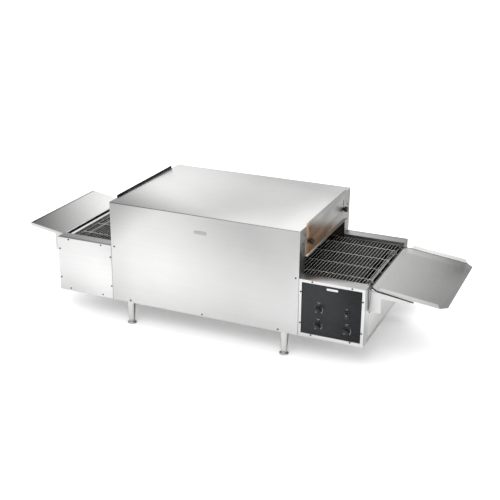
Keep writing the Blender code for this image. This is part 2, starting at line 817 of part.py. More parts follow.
def tray(end):
    """A sheet on a slope with flanges along its front and back edges."""
    name = end_name(end) + "_tray"
    exit_end = end > 0
    slope = EXIT_TRAY_SLOPE if exit_end else ENTRY_TRAY_SLOPE
    start = EXIT_TRAY_X if exit_end else ENTRY_TRAY_X
    height = EXIT_TRAY_Z if exit_end else ENTRY_TRAY_Z
    half = EXIT_TRAY_HALF if exit_end else ENTRY_TRAY_HALF
    reach = EXIT_REACH if exit_end else ENTRY_REACH
    length = (reach - start) / math.cos(slope)
    where, tilt = (end * start, 0, height), (0, slope, 0)
    outline = exit_tray_outline(length, half) if exit_end else entry_tray_outline(length, half)
    outline = [(end * x, y) for x, y in outline]
    floor = prism(name, outline, "Z", -SHEET, 0, STEEL, where, tilt)
    for side in (-1, 1):
        low, high = sorted((side * half, side * (half - SHEET)))
        rim = exit_rim(length) if exit_end else entry_rim(length)
        rim = [(end * x, z) for x, z in rim]
        join(floor, prism(f"{name}_rim_{side}", rim, "Y", low, high, None, where, tilt))
    drop = 0.004
    lip = [(length - SHEET, -drop), (length, -drop), (length, 0), (length - SHEET, 0)]
    lip_half = half - (TRAY_CHAMFER + 0.002 if exit_end else 0.0)
    lip = [(end * x, z) for x, z in lip]
    join(floor, prism(name + "_lip", lip, "Y", -lip_half, lip_half, None, where, tilt))
    if exit_end:
        depth = 0.010
        hook = [(0, -depth), (SHEET, -depth), (SHEET, 0), (0, 0)]
        hook_half = half - TRAY_CHAMFER
        join(floor, prism(name + "_hook", hook, "Y", -hook_half, hook_half, None, where, tilt))


def exit_tray_outline(length, half):
    """A sheet with its four corners cut off."""
    chamfer = TRAY_CHAMFER
    return [
        (0, -half + chamfer),
        (chamfer, -half),
        (length - chamfer, -half),
        (length, -half + chamfer),
        (length, half - chamfer),
        (length - chamfer, half),
        (chamfer, half),
        (0, half - chamfer),
    ]


def exit_rim(length):
    """The side of the exit tray's upstand, cut at a slant at each end."""
    first, last, height, slant = TRAY_CHAMFER, length - TRAY_CHAMFER, 0.014, 0.010
    return [(first, -SHEET), (last, -SHEET), (last - slant, height), (first + slant, height)]


def entry_tray_outline(length, half):
    """A full-width sheet with a narrower tongue that reaches in between the rails."""
    tongue_half = TONGUE_HALF - 0.001
    return [
        (0, -tongue_half),
        (TONGUE, -tongue_half),
        (TONGUE, -half),
        (length, -half),
        (length, half),
        (TONGUE, half),
        (TONGUE, tongue_half),
        (0, tongue_half),
    ]


def entry_rim(length):
    """The side of the entry tray's skirt, with its outer corner cut off."""
    height, corner = 0.013, 0.006
    return [
        (TONGUE, -height),
        (length - corner, -height),
        (length, -corner),
        (length, 0),
        (TONGUE, 0),
    ]


def tray_bracket(side, end):
    """A gusset screwed to the end of the box, with a bar along its top for the tray."""
    name = "tray_bracket_" + corner_name(side, end)
    exit_end = end > 0
    start = BOX_END + GAP
    slope = EXIT_TRAY_SLOPE if exit_end else -ENTRY_TRAY_SLOPE
    rest_x = EXIT_TRAY_X if exit_end else ENTRY_TRAY_X
    rest_z = EXIT_TRAY_Z if exit_end else ENTRY_TRAY_Z
    arm = 0.150 if exit_end else 0.110
    foot = 0.226 if exit_end else 0.250
    leg_depth, tip_depth = (0.020, 0.012) if exit_end else (0.008, 0.007)

    def top(x):
        return rest_z - (x - rest_x) * math.tan(slope) - BRACKET_CLEAR

    leg = start + 0.044
    tip = start + arm
    outline = [
        (start, foot),
        (leg, foot),
        (leg, top(leg) - leg_depth),
        (tip, top(tip) - tip_depth),
        (tip, top(tip)),
        (start, top(start)),
    ]
    outline = [(end * x, z) for x, z in outline]
    outer = side * BRACKET_Y[end_name(end)]
    low, high = sorted((outer, outer - side * SHEET))
    plate = prism(name, outline, "Y", low, high, STEEL)
    flap_inner, flap_height = side * 0.200, 0.045
    y_low, y_high = sorted((outer, flap_inner))
    x_low, x_high = sorted((end * start, end * (start + SHEET)))
    flap_low, flap_high = (x_low, y_low, foot), (x_high, y_high, foot + flap_height)
    join(plate, box(name + "_flap", flap_low, flap_high))
    bar_r, bar_y = 0.0018, outer - side * 0.0012
    ends = (start + 0.006, tip + 0.010)
    bar = [(end * x, bar_y, top(x)) for x in ends]
    join(plate, round_bar(name + "_bar", bar_r, *bar, sides=10))


# Legs


def leg(side, end):
    """A tapered leg with a stud up through the base pan, bored for its foot's screw."""
    where = (end * LEG_X, side * LEG_Y, 0)
    top, stud_top = FLOOR_GAP - GAP, FLOOR_GAP + 0.0137
    bottom, bore_r, bore_top = 0.0145, 0.0056, 0.052
    body = [
        (0, stud_top),
        (LEG_STUD_R, stud_top),
        (LEG_STUD_R, top),
        (0.0185, top),
        (0.0175, top - 0.006),
        (0.0122, bottom + 0.0015),
        (0.0108, bottom),
        (bore_r, bottom),
        (bore_r, bore_top),
        (0, bore_top),
    ]
    turned("leg_" + corner_name(side, end), body, STEEL, where, steps=20)
    screw_r, screw_top, pad_r = 0.0050, 0.048, 0.018
    foot = [
        (0, screw_top),
        (screw_r, screw_top),
        (screw_r, 0.0130),
        (0.0110, 0.0130),
        (0.0130, 0.0080),
        (pad_r, 0.0050),
        (pad_r, 0.0010),
        (pad_r - 0.0010, 0),
        (0, 0),
    ]
    turned("foot_" + corner_name(side, end), foot, DULL_STEEL, where, steps=20)


# Power cord


def power_cord():
    """Cord with its moulded sleeve and plug: out of the rear wall, down, and along the floor."""
    far_y, low_z = BACK + 0.0115, CORD_R + 0.0005
    plug_x, bend = 0.220, 0.011
    path = [
        (CORD_X, BOX_BACK - 0.020, CORD_Z),
        (CORD_X, far_y, CORD_Z),
        (CORD_X, far_y, low_z),
        (plug_x, far_y, low_z),
    ]
    cord = tube("power_cord", rounded(path, bend), CORD_R, BLACK)
    sleeve = across("cord_sleeve", CORD_SLEEVE_R, CORD_X, CORD_Z, BOX_BACK - 0.004, 0.008)
    plug_low = (plug_x - 0.045, far_y - 0.0175, 0.0004)
    plug = box("cord_plug", plug_low, (plug_x + 0.004, far_y + CORD_R, 0.0260))
    join(cord, sleeve, plug)


def build():
    chamber()
    control_box()
    idler_box()
    for name, x, z in knob_places():
        control_knob(name, x, z)
    power_switch()
    belt_and_shafts()
    chain_drive()
    gearmotor()
    cooling_fan()
    for end in (-1, 1):
        tray(end)
    for side, end in corners():
        tray_bracket(side, end)
        leg(side, end)
    power_cord()


clear_scene()
ROOT = bpy.data.objects.new("oven", None)
bpy.context.scene.collection.objects.link(ROOT)
ROOT.location = (CHAMBER_X, 0, 0)
build()
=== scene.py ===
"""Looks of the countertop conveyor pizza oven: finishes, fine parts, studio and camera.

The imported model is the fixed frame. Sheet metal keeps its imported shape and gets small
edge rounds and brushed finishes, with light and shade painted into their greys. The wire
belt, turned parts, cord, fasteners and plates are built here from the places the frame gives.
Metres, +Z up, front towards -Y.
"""

import math

import bmesh
import bpy
from mathutils import Matrix, Vector


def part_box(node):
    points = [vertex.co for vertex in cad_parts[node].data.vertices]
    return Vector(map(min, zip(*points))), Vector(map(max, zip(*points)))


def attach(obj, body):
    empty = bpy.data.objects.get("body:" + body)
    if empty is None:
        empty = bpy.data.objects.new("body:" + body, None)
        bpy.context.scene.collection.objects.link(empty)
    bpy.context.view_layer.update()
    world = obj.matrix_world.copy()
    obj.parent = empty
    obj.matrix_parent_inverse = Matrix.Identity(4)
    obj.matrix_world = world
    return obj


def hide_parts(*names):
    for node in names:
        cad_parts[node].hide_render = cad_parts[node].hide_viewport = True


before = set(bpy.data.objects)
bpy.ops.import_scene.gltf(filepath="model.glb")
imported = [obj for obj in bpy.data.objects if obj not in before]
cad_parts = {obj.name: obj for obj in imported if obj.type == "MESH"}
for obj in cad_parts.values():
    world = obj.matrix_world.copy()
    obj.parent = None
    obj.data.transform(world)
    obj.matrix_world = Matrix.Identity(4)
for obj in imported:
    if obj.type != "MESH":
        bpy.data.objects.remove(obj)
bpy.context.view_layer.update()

ROOT_BODY = "oven"
CORNERS = ("front_entry", "front_exit", "rear_entry", "rear_exit")
ENDS = (("entry", -1), ("exit", 1))
LEFT, RIGHT = (-1, 0, 0), (1, 0, 0)
FRONT, BACK = (0, -1, 0), (0, 1, 0)
DOWN, UP = (0, 0, -1), (0, 0, 1)


# Node materials


class Look:
    """A Principled material whose node tree is built one step at a time."""

    def __init__(self, name):
        self.material = bpy.data.materials.new(name)
        self.material.use_nodes = True
        self.tree = self.material.node_tree
        self.shader = self.tree.nodes["Principled BSDF"]
        self.place = self.add("TexCoord").outputs["Object"]

    def add(self, kind, inputs=None, **settings):
        made = self.tree.nodes.new("ShaderNode" + kind)
        for key, value in settings.items():
            setattr(made, key, value)
        for key, value in (inputs or {}).items():
            self.feed(made.inputs[key], value)
        return made

    def feed(self, socket, value):
        if isinstance(value, bpy.types.NodeSocket):
            self.tree.links.new(value, socket)
        else:
            socket.default_value = value

    def noise(self, stretch, detail, roughness, offset=0.0):
        """Noise with one scale per metre, or with one for each axis."""
        scale = (stretch,) * 3 if isinstance(stretch, float) else stretch
        inputs = {"Vector": self.place, "Scale": scale, "Location": (offset,) * 3}
        mapped = self.add("Mapping", inputs).outputs[0]
        inputs = {"Vector": mapped, "Scale": 1.0, "Detail": detail, "Roughness": roughness}
        return self.add("TexNoise", inputs).outputs["Fac"]

    def span(self, value, low, high, start=0.3, end=0.7):
        """start..end, by default a noise's usual range, mapped to low..high and held there."""
        limits = {"From Min": start, "From Max": end, "To Min": low, "To Max": high}
        inputs = {"Value": value, **limits}
        return self.add("MapRange", inputs, interpolation_type="SMOOTHSTEP").outputs[0]

    def maths(self, operation, first, second):
        node = self.add("Math", operation=operation)
        self.feed(node.inputs[0], first)
        self.feed(node.inputs[1], second)
        return node.outputs[0]

    def times(self, *values):
        out = values[0]
        for value in values[1:]:
            out = self.maths("MULTIPLY", out, value)
        return out

    def plus(self, first, second):
        return self.maths("ADD", first, second)

    def mix(self, factor, first, second):
        node = self.add("Mix", data_type="RGBA")
        self.feed(node.inputs["Factor"], factor)
        for name, value in (("A", first), ("B", second)):
            socket = [s for s in node.inputs if s.name == name and s.type == "RGBA"][0]
            self.feed(socket, value if isinstance(value, bpy.types.NodeSocket) else (*value, 1.0))
        return [s for s in node.outputs if s.type == "RGBA"][0]

    def tinted(self, colour, strength):
        """A colour multiplied by a grey value."""
        made = self.add("VectorMath", operation="SCALE")
        self.feed(made.inputs[0], colour)
        self.feed(made.inputs["Scale"], strength)
        return made.outputs[0]

    def bump(self, height, distance, strength):
        inputs = {"Height": height, "Distance": distance, "Strength": strength}
        return self.add("Bump", inputs).outputs[0]

    def along(self, vector, direction):
        """How far a vector reaches along a fixed direction."""
        made = self.add("VectorMath", {0: vector, 1: direction}, operation="DOT_PRODUCT")
        return made.outputs["Value"]

    def drift(self, direction, start, end, low=0.0, high=1.0, only=None):
        """low to high along a direction, between two distances from the origin.

        only is a direction: faces that look another way keep the value 1.
        """
        value = self.span(self.along(self.place, direction), low, high, start, end)
        if only is None:
            return value
        change = self.maths("SUBTRACT", value, 1.0)
        return self.plus(self.times(self.facing(only), change), 1.0)

    def facing(self, direction):
        """1 on faces that look along a direction, 0 on the others."""
        normal = self.add("NewGeometry").outputs["True Normal"]
        return self.span(self.along(normal, direction), 0.0, 1.0, 0.6, 0.9)

    def finish(self, colour, roughness, metallic, normal=None, **extra):
        self.feed(self.shader.inputs["Base Color"], colour)
        self.feed(self.shader.inputs["Roughness"], roughness)
        self.feed(self.shader.inputs["Metallic"], metallic)
        if normal is not None:
            self.feed(self.shader.inputs["Normal"], normal)
        for key, value in extra.items():
            self.feed(self.shader.inputs[key.replace("_", " ")], value)
        return self.material


STRAW = (0.245, 0.143, 0.077)
GRAIN = {"X": (14.0, 1500.0, 1500.0), "Y": (1500.0, 14.0, 1500.0)}


def brushed(name, tint, roughness=0.3, grain="X", painted_light=(), painted_shade_side=None, straw=None, painted_bright_side=None):
    """Brushed stainless: fine drawn lines, cloudy rolling marks and a few smears.

    The fifth argument paints light and shade: (direction, start, end, low, high) entries, at times
    with the direction of the faces they are limited to, each a grey multiplier that drifts across
    the sheet in place of reflections, highlights and seam shadows. The sixth is a direction: faces
    that look that way are painted near black, as shade. straw holds (direction, start, end,
    faces):
    where heat has coloured the faces that look that way. The last is a direction: faces that look
    that way are painted a light non-metallic grey, as a painted highlight.
    """
    look = Look(name)
    lines = look.noise(GRAIN[grain], 4.0, 0.65)
    coarse = look.noise([v / 6 for v in GRAIN[grain]], 2.0, 0.5, 3.1)
    cloud = look.noise(4.0, 3.0, 0.55, 7.7)
    smear = look.noise((13.0, 9.0, 17.0), 4.0, 0.6, 1.3)
    shade = look.times(
        look.span(lines, 0.965, 1.03),
        look.span(coarse, 0.985, 1.012),
        look.span(cloud, 0.98, 1.015),
    )
    # Painted light and shade: each entry scales the grey across the sheet, in place of
    # reflections, highlights and seam shadows.
    for entry in painted_light:
        shade = look.times(shade, look.drift(*entry))
    colour = look.tinted(tint, shade)
    rough = look.plus(look.span(lines, -0.04, 0.05), roughness)
    rough = look.plus(rough, look.span(smear, 0.0, 0.035, 0.5, 0.75))
    if straw:
        direction, start, end, faces = straw
        heat = look.times(look.drift(direction, start, end), look.facing(faces))
        heat = look.times(heat, look.span(smear, 0.75, 1.0, 0.3, 0.65))
        colour = look.mix(heat, colour, look.tinted(STRAW, shade))
    # Painted shade: the faces that look along the given side turn near black, patchy with the
    # smears, and rougher.
    if painted_shade_side:
        dark = look.times(look.facing(painted_shade_side), look.span(smear, 0.85, 1.0, 0.3, 0.6))
        colour = look.mix(dark, colour, (0.030, 0.028, 0.026))
        rough = look.plus(rough, look.times(dark, 0.2))
    metallic = 1.0
    # Painted highlight: the faces that look along the given side turn a light non-metallic grey,
    # and rougher.
    if painted_bright_side:
        painted_bright = look.facing(painted_bright_side)
        colour = look.mix(painted_bright, colour, look.tinted((0.90, 0.90, 0.89), shade))
        rough = look.plus(rough, look.times(painted_bright, 0.3))
        metallic = look.maths("SUBTRACT", 1.0, painted_bright)
    normal = look.bump(lines, 0.00002, 0.35)
    return look.finish(colour, rough, metallic, normal)


def moulded(name, colour, roughness, texture=900.0, height=0.00003):
    """Moulded plastic or rubber: a fine sparked skin, dusty highlights, rubbed patches."""
    look = Look(name)
    skin = look.noise(texture, 2.0, 0.6)
    dust = look.noise(60.0, 4.0, 0.6, 2.0)
    light = [c * 1.5 + 0.002 for c in colour]
    base = look.mix(look.span(dust, 0.0, 0.7, 0.45, 0.75), colour, light)
    rough = look.plus(look.span(skin, -0.05, 0.08), roughness)
    return look.finish(base, rough, 0.0, look.bump(skin, height, 0.6))


def satin_panel(name):
    """The control panel's charcoal overlay: an even leather-fine texture with faint wiping,
    painted darker towards its right end, with a painted sheen that fades to the right and the
    bottom.
    """
    look = Look(name)
    skin = look.noise(1600.0, 2.0, 0.5)
    wipe = look.noise((30.0, 30.0, 90.0), 3.0, 0.6, 5.0)
    wiped = look.span(wipe, 0.0, 1.0, 0.35, 0.7)
    base = look.mix(wiped, (0.0115, 0.0122, 0.0138), (0.016, 0.017, 0.019))
    # Painted shade: darker towards the right end.
    base = look.tinted(base, look.drift(RIGHT, 0.44, 0.56, 1.0, 0.7))
    rough = look.plus(look.span(wipe, 0.0, 0.10, 0.4, 0.7), 0.42)
    # Painted sheen: the specular level drops to the right and to the bottom.
    painted_sheen = look.times(
        look.drift(RIGHT, 0.42, 0.56, 0.37, 0.22),
        look.drift(DOWN, -0.22, -0.13, 1.0, 0.82),
    )
    leather = look.bump(skin, 0.00002, 0.5)
    return look.finish(base, rough, 0.0, leather, Specular_IOR_Level=painted_sheen)


def wire_look(name):
    """Belt wire: drawn bright steel with baked-on darkening and worn crowns, and painted shade
    below the upper run.
    """
    look = Look(name)
    bake = look.noise(70.0, 4.0, 0.6)
    scratch = look.noise(900.0, 2.0, 0.5, 6.0)
    base = look.mix(look.span(bake, 0.0, 0.55, 0.45, 0.70), (0.72, 0.72, 0.70), (0.22, 0.20, 0.18))
    base = look.mix(look.span(scratch, 0.0, 0.4, 0.55, 0.8), base, (0.80, 0.79, 0.76))
    # Painted shade: below a height just under the upper run, the wire turns near black.
    base = look.mix(look.drift(DOWN, -0.292, -0.284), base, (0.030, 0.028, 0.026))
    rough = look.span(bake, 0.20, 0.34, 0.35, 0.7)
    return look.finish(base, rough, 1.0, look.bump(scratch, 0.00003, 0.4))


def plain_steel(name, tint, roughness, painted_dark_side=None):
    """Turned or cast steel: fine mottling, fine scratches and slightly uneven polish.

    The fourth argument is a direction: faces that look that way get a painted dark reflection.
    """
    look = Look(name)
    mottle = look.noise(260.0, 4.0, 0.6)
    ring = look.noise((40.0, 40.0, 1500.0), 3.0, 0.6, 2.5)
    shade = look.span(mottle, 0.9, 1.06)
    shade = look.times(shade, look.span(ring, 0.95, 1.03))
    rough = look.plus(look.span(ring, -0.04, 0.08), roughness)
    # Painted reflection: the faces that look along the given side are darkened, as the dark edge
    # of a round part.
    if painted_dark_side:
        shade = look.times(shade, look.plus(look.times(look.facing(painted_dark_side), -0.75), 1.0))
    return look.finish(look.tinted(tint, shade), rough, 1.0, look.bump(ring, 0.00002, 0.5))


def oxidised(name):
    """Heater sheath: scaled grey oxide with brown and straw patches."""
    look = Look(name)
    patch = look.noise(45.0, 5.0, 0.6)
    scale = look.noise(700.0, 3.0, 0.6, 3.0)
    base = look.mix(look.span(patch, 0.0, 1.0, 0.4, 0.65), (0.16, 0.15, 0.14), (0.24, 0.15, 0.09))
    rough = look.span(scale, 0.5, 0.8)
    return look.finish(base, rough, 0.7, look.bump(scale, 0.00006, 0.7))


def wool(name):
    """Ceramic fibre blanket: matted fibres in two directions."""
    look = Look(name)
    one = look.noise((40.0, 600.0, 600.0), 4.0, 0.7)
    two = look.noise((600.0, 60.0, 600.0), 4.0, 0.7, 4.0)
    fibre = look.maths("MAXIMUM", one, two)
    base = look.mix(look.span(fibre, 0.0, 1.0, 0.4, 0.75), (0.58, 0.54, 0.45), (0.80, 0.77, 0.69))
    return look.finish(base, 0.95, 0.0, look.bump(fibre, 0.0008, 0.8))


def machine_paint(name):
    """Sprayed machine paint with orange peel and rubbed dust."""
    look = Look(name)
    peel = look.noise(380.0, 1.0, 0.4)
    dust = look.noise(35.0, 4.0, 0.6, 2.0)
    base = look.mix(look.span(dust, 0.0, 0.6, 0.4, 0.7), (0.07, 0.09, 0.12), (0.16, 0.17, 0.19))
    rough = look.span(dust, 0.38, 0.6, 0.4, 0.7)
    return look.finish(base, rough, 0.0, look.bump(peel, 0.0001, 0.5))


def ink(name, colour):
    """Screen-printed marks: slightly uneven light ink."""
    look = Look(name)
    grain = look.noise(1200.0, 2.0, 0.6)
    base = look.tinted(colour, look.span(grain, 0.8, 1.05))
    rough = look.span(grain, 0.45, 0.65)
    return look.finish(base, rough, 0.0, look.bump(grain, 0.00001, 0.5))


# Mesh code


def link(name, data):
    """A new object in the scene."""
    obj = bpy.data.objects.new(name, data)
    bpy.context.scene.collection.objects.link(obj)
    return obj


def smooth(mesh):
    mesh.polygons.foreach_set("use_smooth", [True] * len(mesh.polygons))


def add_piece(name, shape, look, body, sharp=35.0):
    """Turns a bmesh into a piece that rides on a body, smooth but for creases at real edges."""
    bmesh.ops.recalc_face_normals(shape, faces=shape.faces)
    mesh = bpy.data.meshes.new(name)
    shape.to_mesh(mesh)
    shape.free()
    smooth(mesh)
    mesh.set_sharp_from_angle(angle=math.radians(sharp))
    mesh.update()
    obj = link(name, mesh)
    mesh.materials.append(look)
    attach(obj, body)
    return obj


def bridge(shape, first, second):
    """A band of faces between two rings of vertices."""
    count = len(first)
    for i in range(count):
        j = (i + 1) % count
        shape.faces.new((first[i], first[j], second[j], second[i]))


def cap(shape, first, last):
    """The two end faces of a closed form."""
    shape.faces.new(first[::-1])
    shape.faces.new(last)


def prism(shape, outline, x0, x1):
    """A closed form with the same (y, z) outline from x0 to x1."""
    first, last = ([shape.verts.new((x, y, z)) for y, z in outline] for x in (x0, x1))
    bridge(shape, first, last)
    cap(shape, first, last)


def wire_ring(shape, point, one, other, radius, sides):
    """A ring of vertices round a point of a wire, in the plane of two directions."""
    ring = []
    for k in range(sides):
        angle = 2 * math.pi * k / sides
        offset = one * (radius * math.cos(angle)), other * (radius * math.sin(angle))
        ring.append(shape.verts.new(point + offset[0] + offset[1]))
    return ring


def lathe(shape, profile, where, steps=48, ripple=None):
    """Turns a profile of (radius, height) about the Z axis of the matrix `where`.

    ripple(height, angle) scales the radius, for flutes and flats. The profile starts
    and ends on the axis, so the solid is closed.
    """
    angles = [2 * math.pi * i / steps for i in range(steps)]
    rings = []
    for radius, height in profile:
        if radius == 0:
            rings.append([shape.verts.new(where @ Vector((0, 0, height)))])
            continue
        ring = []
        for angle in angles:
            r = radius * (ripple(height, angle) if ripple else 1.0)
            point = Vector((r * math.cos(angle), r * math.sin(angle), height))
            ring.append(shape.verts.new(where @ point))
        rings.append(ring)
    for first, second in zip(rings, rings[1:]):
        if len(first) == 1:
            for i in range(steps):
                shape.faces.new((first[0], second[i], second[(i + 1) % steps]))
        elif len(second) == 1:
            for i in range(steps):
                shape.faces.new((first[i], first[(i + 1) % steps], second[0]))
        else:
            bridge(shape, first, second)
    return shape


def sweep(shape, path, radius, sides=8):
    """A round wire along a path of points, closed at both ends."""
    points = [Vector(p) for p in path]
    rings = []
    normal = None
    for i, point in enumerate(points):
        before = points[max(i - 1, 0)]
        after = points[min(i + 1, len(points) - 1)]
        line = (after - before).normalized()
        if normal is None:
            side = Vector(UP) if abs(line.z) < 0.9 else Vector(RIGHT)
            normal = line.cross(side).normalized()
        normal = (normal - line * normal.dot(line)).normalized()
        rings.append(wire_ring(shape, point, normal, line.cross(normal), radius, sides))
    for first, second in zip(rings, rings[1:]):
        bridge(shape, first, second)
    cap(shape, rings[0], rings[-1])
    return shape


def slab(shape, outline, where, depth, edge=0.0):
    """A flat plate from an outline in the XY plane of `where`, with a chamfered face."""
    middle = Vector((sum(p[0] for p in outline), sum(p[1] for p in outline))) / len(outline)

    def ring(height, inset):
        made = []
        for u, v in outline:
            point = Vector((u, v))
            inward = middle - point
            if inset and inward.length:
                point = point + inward.normalized() * inset
            made.append(shape.verts.new(where @ Vector((point.x, point.y, height))))
        return made

    base, shoulder = ring(0.0, 0.0), ring(depth - edge, 0.0)
    bridge(shape, base, shoulder)
    top = shoulder
    if edge:
        top = ring(depth, edge)
        bridge(shape, shoulder, top)
    cap(shape, base, top)
    return shape


def pill(half_length, half_height, corner, steps=6):
    """A rounded rectangle outline about the origin."""
    outline = []
    for sx, sy, first in ((1, 1, 0), (-1, 1, 1), (-1, -1, 2), (1, -1, 3)):
        for i in range(steps + 1):
            angle = math.pi / 2 * (first + i / steps)
            x = sx * (half_length - corner) + corner * math.cos(angle)
            y = sy * (half_height - corner) + corner * math.sin(angle)
            outline.append((x, y))
    return outline


def facing(direction, where):
    """A matrix whose Z axis points along a direction, placed at a point."""
    turn = Vector(UP).rotation_difference(Vector(direction)).to_matrix().to_4x4()
    return Matrix.Translation(Vector(where)) @ turn


FACE_FRONT = Matrix(((1, 0, 0), (0, 0, -1), (0, 1, 0))).to_4x4()


def on_front(x, y, z):
    """A frame on a wall that faces -Y: its X is +X, its Y is +Z, its Z points to the front."""
    return Matrix.Translation((x, y, z)) @ FACE_FRONT


def on_back(x, y, z):
    """The same on a wall that faces +Y: its X is -X, its Z points to the rear."""
    return Matrix.Translation((x, y, z)) @ Matrix.Rotation(math.pi, 4, "Z") @ FACE_FRONT


# CAD nodes that stay


def centre_of(node):
    low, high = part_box(node)
    return (low + high) / 2


def dress(node, look, edge=0.0004):
    """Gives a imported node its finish, and small rounds along its folds and cuts."""
    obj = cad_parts[node]
    obj.data.materials.clear()
    obj.data.materials.append(look)
    smooth(obj.data)
    weld = obj.modifiers.new("weld", "WELD")
    weld.merge_threshold = 0.00001
    flat = obj.modifiers.new("flat", "DECIMATE")
    flat.decimate_type = "DISSOLVE"
    flat.angle_limit = math.radians(1.0)
    if edge:
        rounds = obj.modifiers.new("rounds", "BEVEL")
        rounds.width = edge
        rounds.segments = 2
        rounds.limit_method = "ANGLE"
        rounds.angle_limit = math.radians(40)
        rounds.harden_normals = True


# Most sheets are one stainless: their tints differ from this one as painted light and shade, sheet
# by sheet.
STEEL_TINT = (0.60, 0.60, 0.595)


def dress_chamber():
    """The tall middle: covers, ends, baffles, liners."""
    # Painted light and shade on the top cover and the front panel: reflections, highlights, and
    # shade in the seam along the top's front edge.
    top_painted_light = (
        (RIGHT, -0.38, 0.02, 1.28, 0.93),
        ((1, -0.9, 0), 0.12, 0.50, 1.0, 1.30),
        ((-1, -1.6, 0), 0.34, 0.93, 1.0, 0.30),
        (RIGHT, 0.20, 0.31, 1.0, 1.14, UP),
        (RIGHT, -0.30, 0.30, 0.42, 0.75, FRONT),
    )
    front_painted_light = (
        (DOWN, -0.45, -0.14, 0.93, 1.13),
        (RIGHT, -0.25, 0.14, 1.00, 0.78),
        ((1, 0, 0.7), 0.45, 0.62, 1.0, 1.15),
        ((-1, 0, 1.2), 0.80, 1.03, 1.0, 0.65),
        (LEFT, 0.33, 0.46, 1.0, 0.91),
    )
    dress("top_cover", brushed("steel_top", (0.66, 0.66, 0.655), 0.30, "X", top_painted_light))
    dress("front_panel", brushed("steel_front", (0.64, 0.64, 0.637), 0.34, "X", front_painted_light))
    dress("back_panel", brushed("steel_back", STEEL_TINT, 0.34))
    dress("base_pan", brushed("steel_base", (0.45, 0.45, 0.44), 0.4))
    for end, sign in ENDS:
        straw = ((0, -1, -3), -1.40, -1.27, (sign, 0, 0))
        # Painted light and shade on the end walls and baffles: reflections, and darker and lighter
        # bands on the wall's front strip.
        wall_painted_light = (
            ((0, -1, -1), -0.24, -0.14, 0.90, 0.42),
            ((0, -1, -1), -0.24, -0.20, 1.0, 1.35),
            ((0, -1, -1), -0.165, -0.145, 1.0, 0.62),
        )
        plate_painted_light = (
            (UP, 0.0, 0.1, 0.95, 0.95, UP),
            (BACK, -0.22, 0.02, 1.30, 0.72),
            (FRONT, 0.192, 0.212, 1.0, 1.60),
        )
        wall = brushed(f"steel_{end}_wall", (0.26, 0.257, 0.25), 0.40, "Y", wall_painted_light)
        dress(end + "_end_wall", wall)
        # The baffles' inward faces get painted shade.
        tint, inward = (0.40, 0.395, 0.38), (-sign, 0, 0)
        plate = brushed(f"steel_{end}_baffle", tint, 0.46, "Y", plate_painted_light, inward, straw)
        dress(end + "_baffle", plate)
    # Painted light on the exit end cover: reflections drifting across it.
    cover_painted_light = (((0, 1, 0.8), -0.02, 0.16, 1.06, 0.88), (FRONT, 0.05, 0.20, 1.0, 1.1))
    cover = brushed("steel_exit_cover", (0.62, 0.62, 0.61), 0.46, "Y", cover_painted_light)
    dress("exit_end_cover", cover)
    # Painted shade: the entry end cover's faces that look right, into the box, turn near black.
    cover = brushed("steel_entry_cover", STEEL_TINT, 0.42, "Y", painted_shade_side=RIGHT)
    dress("entry_end_cover", cover)
    liner = brushed("steel_liner", (0.10, 0.09, 0.08), 0.5)
    for node in ("upper_liner", "lower_liner"):
        dress(node, liner)
    dress("insulation_blanket", wool("ceramic_fibre"), 0.002)
    heater = oxidised("heater_oxide")
    for node in ("upper_heater", "lower_heater"):
        dress(node, heater, 0)


def dress_boxes():
    """The two side boxes with their rails, trays and brackets."""
    # Painted light and shade on the box rails: reflections, and dark rail edges and ends.
    shell_painted_light = (
        ((0.6, 1, 0), 0.46, 0.64, 1.0, 0.52, UP),
        (BACK, 0.266, 0.275, 1.0, 0.72, UP),
        (BACK, 0.228, 0.244, 0.82, 1.0, UP),
        (FRONT, 0.10, 0.20, 1.0, 1.25, UP),
        ((-1, -1, 0), -0.28, -0.10, 1.0, 1.5, UP),
        (BACK, 0.18, 0.22, 1.0, 0.25, RIGHT),
        (FRONT, 0.23, 0.24, 1.0, 1.35, RIGHT),
    )
    # Painted light and shade on the idler box rails.
    idler_painted_light = (
        (RIGHT, -0.72, -0.46, 0.50, 0.80, UP),
        (FRONT, 0.264, 0.272, 1.0, 0.60, UP),
    )
    # Painted light on the idler front cover, with a painted shadow line in the seam at its right
    # edge.
    cover_painted_light = (
        (RIGHT, -0.70, -0.47, 0.90, 1.02),
        (DOWN, -0.20, -0.11, 1.0, 0.93),
        ((-1, 0, 1), 0.90, 1.0, 1.0, 0.97),
        (RIGHT, -0.4560, -0.4525, 1.0, 0.42),
    )
    # Tints set box by box: painted light and shade on one stainless.
    tint = (0.45, 0.45, 0.455)
    dress("control_box_shell", brushed("steel_shell", tint, 0.34, "X", shell_painted_light))
    dress("idler_box_shell", brushed("steel_idler_shell", tint, 0.34, "X", idler_painted_light))
    dress("control_fascia", brushed("steel_fascia", (0.63, 0.63, 0.627)))
    cover = brushed("steel_idler_front", (0.71, 0.71, 0.707), 0.34, "X", cover_painted_light)
    dress("idler_front_cover", cover)
    dress("entry_cross_bar", brushed("steel_cross_bar", (0.74, 0.74, 0.74), 0.25, "Y"))
    dress_trays()
    # Painted light: each end's brackets get their own grey.
    for end, grey in (("entry", 0.53), ("exit", 0.57)):
        bracket = brushed(f"steel_{end}_bracket", (grey, grey, grey - 0.003), 0.34)
        for side in ("front", "rear"):
            dress(f"tray_bracket_{side}_{end}", bracket)
    track = brushed("steel_track", (0.05, 0.048, 0.046), 0.5)
    for side in ("front", "rear"):
        dress(side + "_belt_track", track)


